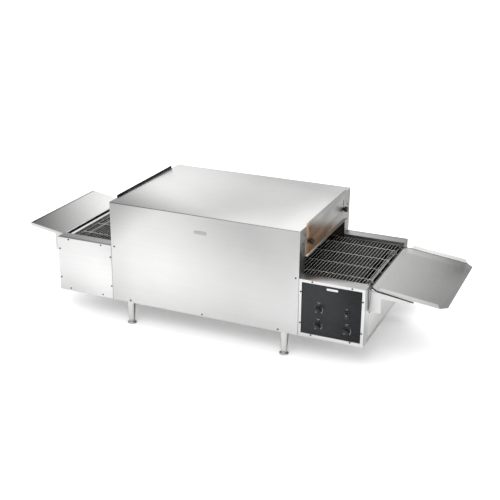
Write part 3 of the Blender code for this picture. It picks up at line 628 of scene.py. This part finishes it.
def dress_trays():
    """The trays: each floor is painted from light to dark, with painted highlights on the flanges
    and painted shade in the folds.
    """
    exit_painted_light = (
        (RIGHT, 0.56, 0.88, 1.18, 0.51, UP),
        (BACK, -0.20, 0.20, 1.0, 0.90, UP),
        (BACK, 0.160, 0.195, 1.0, 1.30, UP),
        (BACK, 0.2215, 0.2250, 1.0, 0.40, UP),
        (BACK, -0.20, 0.20, 0.52, 1.0, FRONT),
        (RIGHT, 0.68, 0.84, 1.0, 0.72, FRONT),
    )
    entry_painted_light = (
        ((1.45, 1, 0), -1.56, -0.80, 0.224, 1.72, UP),
        (BACK, -0.22, 0.20, 0.84, 1.10, UP),
        (LEFT, 0.847, 0.852, 1.0, 0.50, UP),
        (FRONT, 0.0, 0.1, 1.05, 1.05, FRONT),
    )
    # Painted highlight: the exit tray's faces that look to the front are painted light.
    steel = brushed("steel_exit_tray", (0.42, 0.42, 0.413), 0.30, "Y", exit_painted_light, painted_bright_side=FRONT)
    dress("exit_tray", steel)
    dress("entry_tray", brushed("steel_entry_tray", (0.50, 0.50, 0.495), 0.28, "Y", entry_painted_light))


def dress_fittings():
    """Panel, switch, drive and fan."""
    dress("control_panel", satin_panel("charcoal_overlay"), 0.0002)
    steel = plain_steel("turned_steel", (0.30, 0.30, 0.29), 0.3)
    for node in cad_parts:
        if "sprocket" in node or node in ("shaft_chain_wheel", "drive_shaft", "idler_shaft"):
            dress(node, steel, 0.0002)
    dress("gearmotor", machine_paint("motor_paint_look"), 0.0015)
    dress("drive_chain", wire_look("chain_steel"), 0.0006)
    black = moulded("black_moulding", (0.010, 0.010, 0.010), 0.34)
    for node in ("power_switch_body", "power_rocker", "cooling_fan_frame", "cooling_fan_rotor"):
        dress(node, black, 0.0005)


# The wire belt


BELT_PITCH = 0.0127
WIRE_R = 0.00072
HOOKS = 4
HOOK_HALF = 0.0015
HOOK_STAGGER = 0.0044
EDGE_MARGIN = 0.012


def belt_track(low, high):
    """The loop's length, and a function from a distance along it to a place and its outside."""
    roll = (high.z - low.z) / 2
    radius = roll - 0.0010
    middle, axle = (low.x + high.x) / 2, (low.z + high.z) / 2
    straight = high.x - low.x - 2 * roll
    length = 2 * (straight + math.pi * radius)

    def at(s):
        second_half, s = divmod(s % length, length / 2)
        side = -1 if second_half else 1
        angle = max(s - straight, 0.0) / radius
        out = Vector((side * math.sin(angle), 0, side * math.cos(angle)))
        x = middle + side * (min(s, straight) - straight / 2)
        return Vector((x, 0, axle)) + out * radius, out

    return length, at


def belt_strand(at, s, pitch, half_width, shift):
    """One wire of the belt: straight runs across it, and hooks that close round the next wire."""
    tip = s + pitch + 0.0020

    def point(along, y, lift):
        where, out = at(along)
        where = where + out * lift
        return (where.x, y, where.z)

    edge = (
        (tip - 0.0030, half_width - 0.0036, -0.0006),
        (tip, half_width - 0.0022, -0.0002),
        (tip - 0.0012, half_width, 0.0006),
        (s + 0.0012, half_width, 0.0004),
        (s, half_width - 0.0016, 0.0),
    )
    hook = (
        (s, HOOK_HALF + 0.0018, 0.0),
        (s + 0.0014, HOOK_HALF, 0.0003),
        (s + pitch - 0.0004, HOOK_HALF, 0.0010),
        (tip, HOOK_HALF * 0.45, 0.0003),
    )
    spacing = 2 * (half_width - EDGE_MARGIN) / HOOKS
    path = [point(along, -aside, lift) for along, aside, lift in edge]
    for k in range(HOOKS):
        y = -half_width + EDGE_MARGIN + spacing * (k + 0.5) + shift
        path += [point(along, y - aside, lift) for along, aside, lift in hook]
        path += [point(along, y + aside, -lift) for along, aside, lift in hook[::-1]]
    path += [point(along, aside, lift) for along, aside, lift in edge[::-1]]
    return path


def build_belt():
    """The wire belt: one strand after another, with hooks that alternate sideways."""
    low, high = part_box("conveyor_belt")
    length, at = belt_track(low, high)
    count = round(length / BELT_PITCH)
    pitch = length / count
    half_width = high.y - WIRE_R - 0.0002
    shape = bmesh.new()
    for i in range(count):
        shift = HOOK_STAGGER / 2 * (1 if i % 2 else -1)
        sweep(shape, belt_strand(at, i * pitch, pitch, half_width, shift), WIRE_R, 6)
    look = wire_look("belt_wire_look")
    belt = add_piece("wire_belt", shape, look, ROOT_BODY, 80)
    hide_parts("conveyor_belt")


def build_belt_bed():
    """A near-black sheet under the belt's upper run, with all its edges turned down: painted shade
    that stands in for the dark below the belt.
    """
    low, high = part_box("conveyor_belt")
    roll = (high.z - low.z) / 2
    # Painted shade: near black, for the dark inside under the belt.
    look = brushed("bed_painted_shade", (0.014, 0.013, 0.012), 0.6)
    x0, x1 = low.x + 2 * roll + 0.004, high.x - 2 * roll - 0.004
    half, top, sheet, skirt = high.y - 0.002, high.z - 0.0052, 0.0012, 0.009
    lip = 0.028
    inner = half - sheet
    path = [(-half, top - skirt), (-half, top), (half, top), (half, top - skirt)]
    path += [(inner, top - skirt), (inner, top - sheet)]
    path += [(-inner, top - sheet), (-inner, top - skirt)]
    shape = bmesh.new()
    prism(shape, path, x0, x1)
    wide = half - 2 * sheet
    corners = [(-wide, top - sheet), (wide, top - sheet), (wide, top - lip), (-wide, top - lip)]
    for x in (x0, x1 - sheet):
        prism(shape, corners, x, x + sheet)
    add_piece("belt_bed", shape, look, ROOT_BODY)


# Turned and moulded parts


# The side of the legs and feet that gets a painted dark reflection.
LEG_PAINTED_DARK_SIDE = (0.90, 0.43, 0)
KNOB_REST = math.radians(45)
KNOBS = ("top_heat_knob", "bottom_heat_knob", "belt_speed_knob")


def build_legs():
    """Tapered legs with a stud into the base pan, a collar, and a bore for the foot."""
    chrome = plain_steel("leg_steel", (0.74, 0.74, 0.73), 0.14, LEG_PAINTED_DARK_SIDE)
    pad = plain_steel("foot_steel", (0.60, 0.60, 0.59), 0.3, LEG_PAINTED_DARK_SIDE)
    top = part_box("base_pan")[0].z - 0.0003
    stud = [(0, top + 0.014), (0.0040, top + 0.014), (0.0045, top + 0.0135), (0.0045, top)]
    collar = [(0.0178, top), (0.0185, top - 0.0006), (0.0185, top - 0.0052)]
    collar += [(0.0180, top - 0.0060), (0.0172, top - 0.0064), (0.0169, top - 0.0090)]
    tip = [(0.0122, 0.0180), (0.0120, 0.0168), (0.0112, 0.0150), (0.0104, 0.0145)]
    bore = [(0.0056, 0.0145), (0.0056, 0.052), (0, 0.052)]
    for corner in CORNERS:
        centre = centre_of("leg_" + corner)
        where = Matrix.Translation((centre.x, centre.y, 0))
        shape = lathe(bmesh.new(), stud + collar + tip + bore, where, 64)
        leg = add_piece("leg_tube_" + corner, shape, chrome, ROOT_BODY)
        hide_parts("leg_" + corner)
        build_foot(corner, where, pad)


def build_foot(corner, where, look):
    """A threaded stem, a hexagon nut and a round pad."""

    def hexagon(height, angle):
        if not 0.0078 < height < 0.0136:
            return 1.0
        step = math.pi / 3
        return math.cos(step / 2) / math.cos((angle % step) - step / 2)

    stem = [(0, 0.0480), (0.0042, 0.0480), (0.0050, 0.0470), (0.0050, 0.0136)]
    nut = [(0.0100, 0.0136), (0.0112, 0.0130), (0.0112, 0.0084), (0.0104, 0.0078)]
    pad = [(0.0150, 0.0070), (0.0176, 0.0055), (0.0180, 0.0048), (0.0180, 0.0012)]
    sole = [(0.0170, 0.0), (0, 0.0)]
    shape = lathe(bmesh.new(), stem + nut + pad + sole, where, 72, hexagon)
    body = "foot_" + corner
    foot = add_piece("levelling_foot_" + corner, shape, look, body)
    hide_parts(body)


def build_control_knobs():
    """Fluted knobs with a rib and a printed line that points to the lowest mark at rest."""
    black = moulded("knob_plastic", (0.003, 0.003, 0.003), 0.42)
    white = ink("knob_pointer_ink", (0.36, 0.36, 0.35))
    panel_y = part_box("control_panel")[0].y
    for node in KNOBS:
        centre = centre_of(node)
        depth = panel_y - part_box(node)[0].y
        where = on_front(centre.x, panel_y, centre.z)

        def flutes(height, angle, depth=depth):
            if not 0.0046 < height < depth - 0.0032:
                return 1.0
            return 1.0 - 0.045 * max(0.0, math.cos(10 * angle)) ** 2

        crown = [(0, depth - 0.0020), (0.0070, depth - 0.0020), (0.0086, depth - 0.0024)]
        side = [(0.0098, depth - 0.0036), (0.0104, 0.0056), (0.0106, 0.0044)]
        skirt = [(0.0128, 0.0034), (0.0135, 0.0026), (0.0135, 0.0010), (0.0131, 0.0006)]
        shaft = [(0.0036, 0.0006), (0.0036, -0.0120), (0, -0.0120)]
        shape = lathe(bmesh.new(), crown + side + skirt + shaft, where, 80, flutes)
        lean = Matrix.Rotation(-KNOB_REST, 4, "Z")
        rib = pill(0.0017, 0.0094, 0.0012, 3)
        slab(shape, rib, where @ lean @ Matrix.Translation((0, 0, depth - 0.009)), 0.009, 0.0005)
        knob = add_piece(node + "_grip", shape, black, node)
        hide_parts(node)
        line = pill(0.0006, 0.0034, 0.0004, 3)
        spot = where @ lean @ Matrix.Translation((0, -0.0052, depth - 0.0001))
        add_piece(node + "_pointer", slab(bmesh.new(), line, spot, 0.0002), white, node)


def build_baffle_knobs():
    """Lobed thumb screws whose threads go through the baffles into the end walls."""
    black = moulded("thumb_screw_plastic", (0.003, 0.003, 0.003), 0.45)
    seat = 0.0021

    def lobes(height, angle):
        if not seat + 0.0058 < height < seat + 0.0174:
            return 1.0
        return 1.0 - 0.07 * max(0.0, math.cos(8 * angle)) ** 1.5

    face = [(0, seat + 0.0172), (0.0060, seat + 0.0172), (0.0070, seat + 0.0180)]
    face += [(0.0092, seat + 0.0180), (0.0106, seat + 0.0172), (0.0110, seat + 0.0160)]
    base = [(0.0110, seat + 0.0070), (0.0104, seat + 0.0056), (0.0092, seat + 0.0050)]
    neck = [(0.0065, seat + 0.0050), (0.0065, seat)]
    thread = [(0.0030, seat), (0.0030, -0.0080), (0, -0.0080)]
    for corner in CORNERS:
        node = "baffle_knob_" + corner
        centre = centre_of(node)
        end = corner.split("_")[1]
        low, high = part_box(end + "_end_wall")
        outward, wall = (RIGHT, high.x) if end == "exit" else (LEFT, low.x)
        where = facing(outward, (wall, centre.y, centre.z))
        shape = lathe(bmesh.new(), face + base + neck + thread, where, 64, lobes)
        knob = add_piece("thumb_screw_" + corner, shape, black, node)
        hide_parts(node)


# Fasteners, plates and printed marks


FRONT_SCREW_HEIGHT = 0.328
WALL_SCREW_HEIGHTS = (0.449, 0.385)
COVER_SCREW_HEIGHT = 0.2165


def screw_head(shape, where, radius=0.0034, height=0.0017):
    """A pan head with a cross recess, its seat on the XY plane of `where`."""
    recessed = [(0, height * 0.52), (radius * 0.16, height * 0.55), (radius * 0.42, height * 0.98)]
    crown = [(radius * 0.60, height), (radius * 0.84, height * 0.78)]
    rim = [(radius * 0.97, height * 0.42), (radius, height * 0.10), (radius * 0.98, 0.0), (0, 0.0)]
    profile = recessed + crown + rim

    def recess(level, angle):
        if height * 0.9 < level < height * 0.99:
            return 0.62 + 0.38 * abs(math.cos(2 * angle)) ** 2
        return 1.0

    lathe(shape, profile, where, 24, recess)


def screw_set(name, places, look):
    """Screw heads on one panel, as one piece. places holds (point, outward direction)."""
    shape = bmesh.new()
    for point, outward in places:
        screw_head(shape, facing(outward, point))
    add_piece(name, shape, look, ROOT_BODY, 50)


def spots(xs, ys, zs, outward):
    """Screw places at every combination of the coordinates."""
    return [((x, y, z), outward) for x in xs for y in ys for z in zs]


def build_screws():
    """The visible screws of every panel, one piece for each panel."""
    steel = plain_steel("screw_steel", (0.055, 0.055, 0.055), 0.3)
    low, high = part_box("front_panel")
    middle, face = (low.x + high.x) / 2, (low.y,)
    places = spots((low.x + 0.0125, high.x - 0.0125), face, (FRONT_SCREW_HEIGHT,), FRONT)
    lower_row = (middle - 0.313, middle, middle + 0.313)
    places += spots(lower_row, face, (low.z + 0.0085,), FRONT)
    screw_set("front_panel_screws", places, steel)

    for name, node, left_in, right_in in (
        ("fascia_screws", "control_fascia", 0.0075, 0.0073),
        ("idler_cover_screws", "idler_front_cover", 0.0085, 0.0070),
    ):
        low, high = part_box(node)
        face = (low.y,)
        rows = (high.z - 0.0050, low.z + 0.0105)
        places = spots((low.x + 0.0507, high.x - 0.0490), face, rows, FRONT)
        places += spots((low.x + left_in,), face, (high.z - 0.0490, low.z + 0.0540), FRONT)
        places += spots((high.x - right_in,), face, (high.z - 0.0485, low.z + 0.0545), FRONT)
        screw_set(name, places, steel)

    low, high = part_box("back_panel")
    columns = [low.x + 0.0125 + (high.x - low.x - 0.025) * k / 4 for k in range(5)]
    places = spots(columns, (high.y,), (low.z + 0.0085, high.z - 0.012), BACK)
    places += spots(columns[::4], (high.y,), ((low.z + high.z) / 2,), BACK)
    screw_set("back_panel_screws", places, steel)

    for end, sign in ENDS:
        for kind, inset, heights in (
            ("wall", 0.029, WALL_SCREW_HEIGHTS),
            ("cover", 0.0068, (COVER_SCREW_HEIGHT,)),
        ):
            low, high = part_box(f"{end}_end_{kind}")
            face = (high.x if sign > 0 else low.x,)
            places = spots(face, (low.y + inset, high.y - inset), heights, (sign, 0, 0))
            screw_set(f"{end}_{kind}_screws", places, steel)

    for name in ("control_box", "idler_box"):
        low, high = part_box(name + "_shell")
        sides, levels = (low.x + 0.02, high.x - 0.02), (low.z + 0.02, high.z - 0.02)
        screw_set(name + "_rear_screws", spots(sides, (high.y,), levels, BACK), steel)


def badge(name, node, shift, height, outline, thickness, look):
    """A rounded plate with nothing on it, beside the middle line of a panel."""
    low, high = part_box(node)
    where = on_front((low.x + high.x) / 2 + shift, low.y, height)
    shape = slab(bmesh.new(), pill(*outline), where, *thickness)
    add_piece(name, shape, look, ROOT_BODY)


def build_plates():
    """Plain badges on the front panel and on the control panel."""
    dark = brushed("badge_steel", (0.36, 0.36, 0.36))
    light = brushed("badge_light", (0.62, 0.62, 0.62))
    long, short = (0.026, 0.0065, 0.0060), (0.022, 0.0042, 0.0040)
    badge("front_plate", "front_panel", -0.0045, 0.442, long, (0.0012, 0.0004), dark)
    badge("control_plate", "control_panel", 0.002, 0.3045, short, (0.0010, 0.0003), light)


def build_scale_marks():
    """Printed ticks round each knob, a short bar over each control, all plain."""
    shape = bmesh.new()
    panel_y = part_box("control_panel")[0].y
    thickness = 0.00012
    for node in KNOBS:
        centre = centre_of(node)
        where = on_front(centre.x, panel_y, centre.z)
        for k in range(11):
            angle = math.radians(225 - 27 * k)
            long_mark = k % 5 == 0
            inner, outer = 0.0165, 0.0192 if long_mark else 0.0182
            half, middle = (outer - inner) / 2, (inner + outer) / 2
            turn = Matrix.Rotation(angle, 4, "Z") @ Matrix.Translation((middle, 0, 0))
            outline = pill(half, 0.00055 if long_mark else 0.0004, 0.0003, 2)
            slab(shape, outline, where @ turn, thickness)
        bar = on_front(centre.x, panel_y, centre.z + 0.0245)
        slab(shape, pill(0.0055, 0.0006, 0.0005, 2), bar, thickness)
        scale_arc(shape, where, 0.0150, thickness)
    low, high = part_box("power_switch_body")
    bar = on_front((low.x + high.x) / 2, panel_y, high.z + 0.0075)
    slab(shape, pill(0.0030, 0.0007, 0.0005, 2), bar, thickness)
    add_piece("panel_marks", shape, ink("panel_ink", (0.42, 0.42, 0.41)), ROOT_BODY)


def scale_arc(shape, where, radius, thickness, start=-50.0, end=40.0, steps=18):
    """A thin printed arc that widens towards the high end of a knob's scale."""
    angles = [math.radians(start + (end - start) * i / steps) for i in range(steps + 1)]
    outline = [(radius * math.cos(a), radius * math.sin(a)) for a in angles]
    for i in range(steps, -1, -1):
        wide = radius + 0.0003 + 0.0012 * (1 - i / steps)
        outline.append((wide * math.cos(angles[i]), wide * math.sin(angles[i])))
    base = [shape.verts.new(where @ Vector((x, y, 0))) for x, y in outline]
    top = [shape.verts.new(where @ Vector((x, y, thickness))) for x, y in outline]
    bridge(shape, base, top)
    count = len(outline)
    for ring in (base[::-1], top):
        for i in range(steps):
            shape.faces.new((ring[i], ring[i + 1], ring[count - 2 - i], ring[count - 1 - i]))


def build_rocker_dot():
    """A small light dome in the middle of the rocker."""
    centre, face = centre_of("power_rocker"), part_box("power_rocker")[0].y
    where = on_front(centre.x, face + 0.0016, centre.z)
    dome = [(0, 0.0016), (0.0010, 0.0014), (0.0017, 0.0008), (0.0019, 0.0)]
    shape = lathe(bmesh.new(), dome + [(0.0019, -0.0010), (0, -0.0010)], where, 20)
    add_piece("rocker_dot", shape, ink("rocker_dot_ink", (0.30, 0.30, 0.29)), "power_rocker")


# Tray rods, cord and rear fittings


EXIT_SLOPE = math.radians(6.7)
ENTRY_SLOPE = math.radians(-8.7)
# The exit rods' turn-in follows the tray's cut corner: a painted shadow line under the tray's
# edge.
INNER_BEND = ((0.0235, 0.0), (0.0060, 0.0165), (0.0022, 0.0205), (0.0, 0.0270))


def build_rods():
    """Black coated rods under the trays; those at the exit end turn in at their inner end. Their
    near-black coat and the exit turn-in are partly painted shade, the dark line under each tray's
    edge.
    """
    # Painted shade in part: near black, so the rods read as the shadow line under each tray's
    # edge.
    coat = moulded("rod_coat_and_painted_shade", (0.002, 0.002, 0.002), 0.7)
    for corner in CORNERS:
        low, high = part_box("tray_bracket_" + corner)
        exit_end = corner.endswith("exit")
        front = corner.startswith("front")
        slope = EXIT_SLOPE if exit_end else ENTRY_SLOPE
        y = low.y + 0.0012 if front else high.y - 0.0012
        inner, outer = (low.x, high.x) if exit_end else (high.x, low.x)
        run = high.x - low.x
        top, drop = high.z - 0.0018, run * math.tan(slope)
        end = Vector((outer, y, top - max(drop, 0.0)))
        start = Vector((inner, y, top + min(drop, 0.0))).lerp(end, 0.006 / run)
        push = (end - start).normalized() * 0.0006
        radius = 0.0024 if exit_end else 0.0020
        path = [start - push, start, end, end + push]
        if exit_end:
            path = [tuck(start, y, inward, run) for inward, run in INNER_BEND] + [end, end + push]
        shape = sweep(bmesh.new(), path, radius, 14)
        add_piece("tray_rod_" + corner, shape, coat, ROOT_BODY)


def tuck(start, y, inward, run):
    """A point near a rod's inner end, that far inward of the rod's line and along it."""
    side = -1 if y < 0 else 1
    return Vector((start.x - 0.0015 + run, y - side * inward, start.z + 0.0002))


def build_tether():
    """A thin twisted lanyard that hangs from the exit end's rail down to a screw on the box."""
    coat = moulded("tether_coating", (0.010, 0.010, 0.010), 0.5)
    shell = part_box("control_box_shell")[1]
    face = shell.x + 0.0014
    line = [
        (shell.x - 0.006, -0.2320, shell.z + 0.0012),
        (face - 0.0006, -0.2370, shell.z - 0.001),
        (face, -0.2460, 0.316),
        (face, -0.2525, 0.302),
        (face, -0.2490, 0.284),
        (face, -0.2450, 0.260),
        (face, -0.2410, 0.234),
    ]
    points = [Vector(p) for p in line]
    path = [first.lerp(last, i / 6) for first, last in zip(points, points[1:]) for i in range(6)]
    path.append(points[-1])
    for i, point in enumerate(path):
        point.y += 0.0015 * math.sin(1.7 * i)
    shape = sweep(bmesh.new(), path, 0.0010, 8)
    add_piece("tray_tether", shape, coat, ROOT_BODY)


def build_cord():
    """The cord with a ribbed strain relief and a moulded plug lying by the rear wall."""
    rubber = moulded("cord_rubber_look", (0.014, 0.014, 0.014), 0.5, 600.0)
    low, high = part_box("power_cord")
    radius = 0.0045
    x_out = high.x - 0.0072
    sleeve_z = 0.150
    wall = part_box("control_box_shell")[1].y
    far_y = high.y - radius
    x_plug = low.x + 0.045
    floor_z = low.z + radius + 0.0001
    bend = 0.014
    path = [(x_out, wall - 0.018, sleeve_z), (x_out, wall + 0.004, sleeve_z)]
    reach = min(bend, far_y - wall - 0.002)
    turns = [math.pi / 2 * i / 8 for i in range(9)]
    for a in turns[1:]:
        y = far_y - reach + reach * math.sin(a)
        path.append((x_out, y, sleeve_z - reach + reach * math.cos(a)))
    for a in turns:
        x = x_out - bend + bend * math.cos(a)
        path.append((x, far_y, floor_z + bend - bend * math.sin(a)))
    path.append((x_plug, far_y, floor_z))
    shape = sweep(bmesh.new(), path, radius, 20)
    relief = facing(BACK, (x_out, wall - 0.010, sleeve_z))
    ribs = [(0, 0.0), (0.0072, 0.0), (0.0072, 0.0108)]
    for k in range(3):
        z, rib = 0.0108 + 0.0017 * k, 0.0066 - 0.0006 * k
        ribs += [(rib, z), (rib, z + 0.0010), (0.0054, z + 0.0012), (0.0054, z + 0.0016)]
    ribs.append((0, 0.0160))
    lathe(shape, ribs, relief, 32)
    plug = pill(0.0235, 0.0118, 0.0045)
    plug_where = Matrix.Translation((x_plug - 0.0225, far_y - 0.0065, low.z + 0.0128))
    turn = Matrix.Rotation(math.pi / 2, 4, "X") @ Matrix.Translation((0, 0, -0.0105))
    slab(shape, plug, plug_where @ turn, 0.0205, 0.0022)
    cord = add_piece("power_cord_and_plug", shape, rubber, ROOT_BODY)
    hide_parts("power_cord")


def louvre(shape, where, half_length=0.030, height=0.008, depth=0.0045):
    """A pressed louvre: a hood open along its lower edge, on the XY plane of `where`."""
    columns, rows = 16, 6
    outer, under = [], []
    for i in range(columns + 1):
        u = -1 + 2 * i / columns
        swell = (1 - abs(u) ** 4) ** 0.5
        row = []
        for j in range(rows + 1):
            v = j / rows
            z = depth * swell * math.sin(math.pi / 2 * v) ** 0.8
            point = Vector((u * half_length, height * (1 - v), max(z, 0.0)))
            row.append(shape.verts.new(where @ point))
        outer.append(row)
        under.append(shape.verts.new(where @ Vector((u * half_length, 0, 0))))
    for i in range(columns):
        for j in range(rows):
            shape.faces.new((outer[i][j], outer[i + 1][j], outer[i + 1][j + 1], outer[i][j + 1]))
        shape.faces.new((outer[i][rows], outer[i + 1][rows], under[i + 1], under[i]))
        shape.faces.new((outer[i][0], under[i], under[i + 1], outer[i + 1][0]))
    shape.faces.new([outer[0][j] for j in range(rows + 1)] + [under[0]])
    shape.faces.new([under[columns]] + [outer[columns][j] for j in range(rows, -1, -1)])


def build_rear():
    """Louvres and a blank rating plate on the back panel, and a guard over the fan vents."""
    steel = brushed("steel_louvre", STEEL_TINT, 0.34)
    low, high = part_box("back_panel")
    middle = (low.x + high.x) / 2
    shape = bmesh.new()
    for column in (-1, 1):
        for row in range(7):
            louvre(shape, on_back(middle + column * 0.21, high.y, high.z - 0.075 - 0.018 * row))
    bmesh.ops.remove_doubles(shape, verts=shape.verts, dist=0.00001)
    add_piece("rear_louvres", shape, steel, ROOT_BODY, 50)

    plate = brushed("rating_plate_steel", (0.74, 0.74, 0.73), 0.4)
    outline = pill(0.045, 0.027, 0.003)
    shape = slab(bmesh.new(), outline, on_back(middle, high.y, 0.17), 0.0008, 0.0002)
    add_piece("rear_plate", shape, plate, ROOT_BODY)

    guard = plain_steel("guard_wire", (0.50, 0.50, 0.49), 0.25)
    fan = centre_of("cooling_fan_rotor")
    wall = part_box("control_box_shell")[1].y
    foam = moulded("filter_foam", (0.010, 0.010, 0.010), 0.85, 420.0, 0.0004)
    outline = pill(0.040, 0.034, 0.004)
    shape = slab(bmesh.new(), outline, on_back(fan.x, wall, fan.z), 0.0026, 0.0006)
    add_piece("fan_filter", shape, foam, ROOT_BODY)
    shape = bmesh.new()
    wire = 0.0008
    for ring in (0.010, 0.019, 0.028, 0.037):
        wire_hoop(shape, Vector((fan.x, wall + 0.004, fan.z)), ring, wire)
    for k in range(4):
        a = math.pi / 4 + math.pi / 2 * k
        spoke = []
        for reach, lift in ((0.006, 0.0052), (0.042, 0.0052), (0.047, 0.0010)):
            x, z = fan.x + reach * math.cos(a), fan.z + reach * math.sin(a)
            spoke.append((x, wall + lift, z))
        sweep(shape, spoke, wire * 1.2, 8)
    add_piece("fan_guard", shape, guard, ROOT_BODY, 80)


def wire_hoop(shape, centre, reach, radius, steps=40, sides=8):
    """A round wire bent to a flat hoop that faces +Y."""
    rings = []
    for i in range(steps):
        a = 2 * math.pi * i / steps
        away = Vector((math.cos(a), 0, math.sin(a)))
        point = centre + away * reach
        rings.append(wire_ring(shape, point, away, Vector(BACK), radius, sides))
    for i in range(steps):
        bridge(shape, rings[i], rings[(i + 1) % steps])


# Studio


# Centre of the painted shadow on the floor.
PAINTED_SHADOW_CENTRE = (0.49, 0.33, 0.0)


def floor_look():
    """A white sweep with a painted shadow on the floor behind the control box."""
    look = Look("studio_floor")
    grain = look.noise(40.0, 3.0, 0.5)
    # Painted shadow: the floor's grey and its glow fall off near a point behind the control box.
    away = look.add("VectorMath", {0: look.place, 1: PAINTED_SHADOW_CENTRE}, operation="DISTANCE")
    painted_shadow = look.span(away.outputs["Value"], 0.50, 1.0, 0.05, 0.23)
    shade = look.times(painted_shadow, look.span(grain, 0.99, 1.01))
    base = look.tinted((0.90, 0.90, 0.90), shade)
    material = look.finish(base, 0.6, 0.0)
    path = look.add("LightPath").outputs["Is Camera Ray"]
    look.feed(look.shader.inputs["Emission Color"], (1.0, 1.0, 1.0, 1.0))
    look.feed(look.shader.inputs["Emission Strength"], look.times(look.times(path, painted_shadow), 0.24))
    look.feed(look.shader.inputs["Specular IOR Level"], 0.0)
    return material


def build_floor():
    """A wide plain floor, which isn't a piece of the oven."""
    shape = bmesh.new()
    bmesh.ops.create_grid(shape, x_segments=8, y_segments=8, size=40.0)
    mesh = bpy.data.meshes.new("floor")
    shape.to_mesh(mesh)
    shape.free()
    mesh.materials.append(floor_look())
    link("floor", mesh)


def area_light(name, where, target, size, power):
    """A soft light that metal doesn't mirror."""
    lamp = bpy.data.lights.new(name, "AREA")
    lamp.shape = "RECTANGLE"
    lamp.size, lamp.size_y = size
    lamp.energy = power
    obj = link(name, lamp)
    obj.location = where
    line = Vector(target) - Vector(where)
    obj.rotation_euler = line.to_track_quat("-Z", "Y").to_euler()
    obj.visible_glossy = False


WORLD_BASE = 0.95
OVERHEAD_GAIN = 0.30


def build_world():
    """A soft surround that is brighter overhead: the base plus a gain by the height squared."""
    world = bpy.data.worlds.new("studio")
    bpy.context.scene.world = world
    world.use_nodes = True
    tree = world.node_tree
    coord = tree.nodes.new("ShaderNodeTexCoord").outputs["Generated"]
    height = tree.nodes.new("ShaderNodeVectorMath")
    height.operation = "DOT_PRODUCT"
    tree.links.new(coord, height.inputs[0])
    height.inputs[1].default_value = UP
    value = height.outputs["Value"]
    steps = (("MAXIMUM", 0.0), ("POWER", 2.0), ("MULTIPLY", OVERHEAD_GAIN), ("ADD", WORLD_BASE))
    for operation, amount in steps:
        step = tree.nodes.new("ShaderNodeMath")
        step.operation = operation
        tree.links.new(value, step.inputs[0])
        step.inputs[1].default_value = amount
        value = step.outputs[0]
    back = tree.nodes["Background"]
    tree.links.new(value, back.inputs["Strength"])
    back.inputs["Color"].default_value = (1.0, 1.0, 1.0, 1.0)


def build_lights():
    area_light("overhead", (-0.8, 1.6, 2.8), (0, 0, 0.1), (2.4, 1.6), 60)
    area_light("front_fill", (0.4, -2.6, 2.6), (0, -0.4, 0), (2.4, 1.6), 50)


CAMERA_PLACE = (1.45611, -3.32003, 1.69762)
CAMERA_TURN = (0.409546, 0.371662, 0.0082173)  # yaw, pitch, roll
CAMERA_LENS = 70.23


def build_camera():
    """Stands off the front right corner and looks slightly down."""
    yaw, pitch, roll = CAMERA_TURN
    reach = math.cos(pitch)
    ahead = Vector((-math.sin(yaw) * reach, math.cos(yaw) * reach, -math.sin(pitch)))
    level = Vector((math.cos(yaw), math.sin(yaw), 0))
    upright = level.cross(ahead)
    right = level * math.cos(roll) + upright * math.sin(roll)
    up = upright * math.cos(roll) - level * math.sin(roll)
    turn = Matrix((right, up, -ahead)).transposed().to_4x4()
    lens = bpy.data.cameras.new("camera")
    lens.lens = CAMERA_LENS
    lens.sensor_width = 36.0
    lens.clip_end = 200.0
    camera = link("camera", lens)
    camera.matrix_world = Matrix.Translation(CAMERA_PLACE) @ turn
    bpy.context.scene.camera = camera
    bpy.context.scene.view_settings.view_transform = "Standard"


dress_chamber()
dress_boxes()
dress_fittings()
build_belt()
build_belt_bed()
build_legs()
build_control_knobs()
build_baffle_knobs()
build_screws()
build_plates()
build_scale_marks()
build_rocker_dot()
build_rods()
build_tether()
build_cord()
build_rear()
build_floor()
build_world()
build_lights()
build_camera()
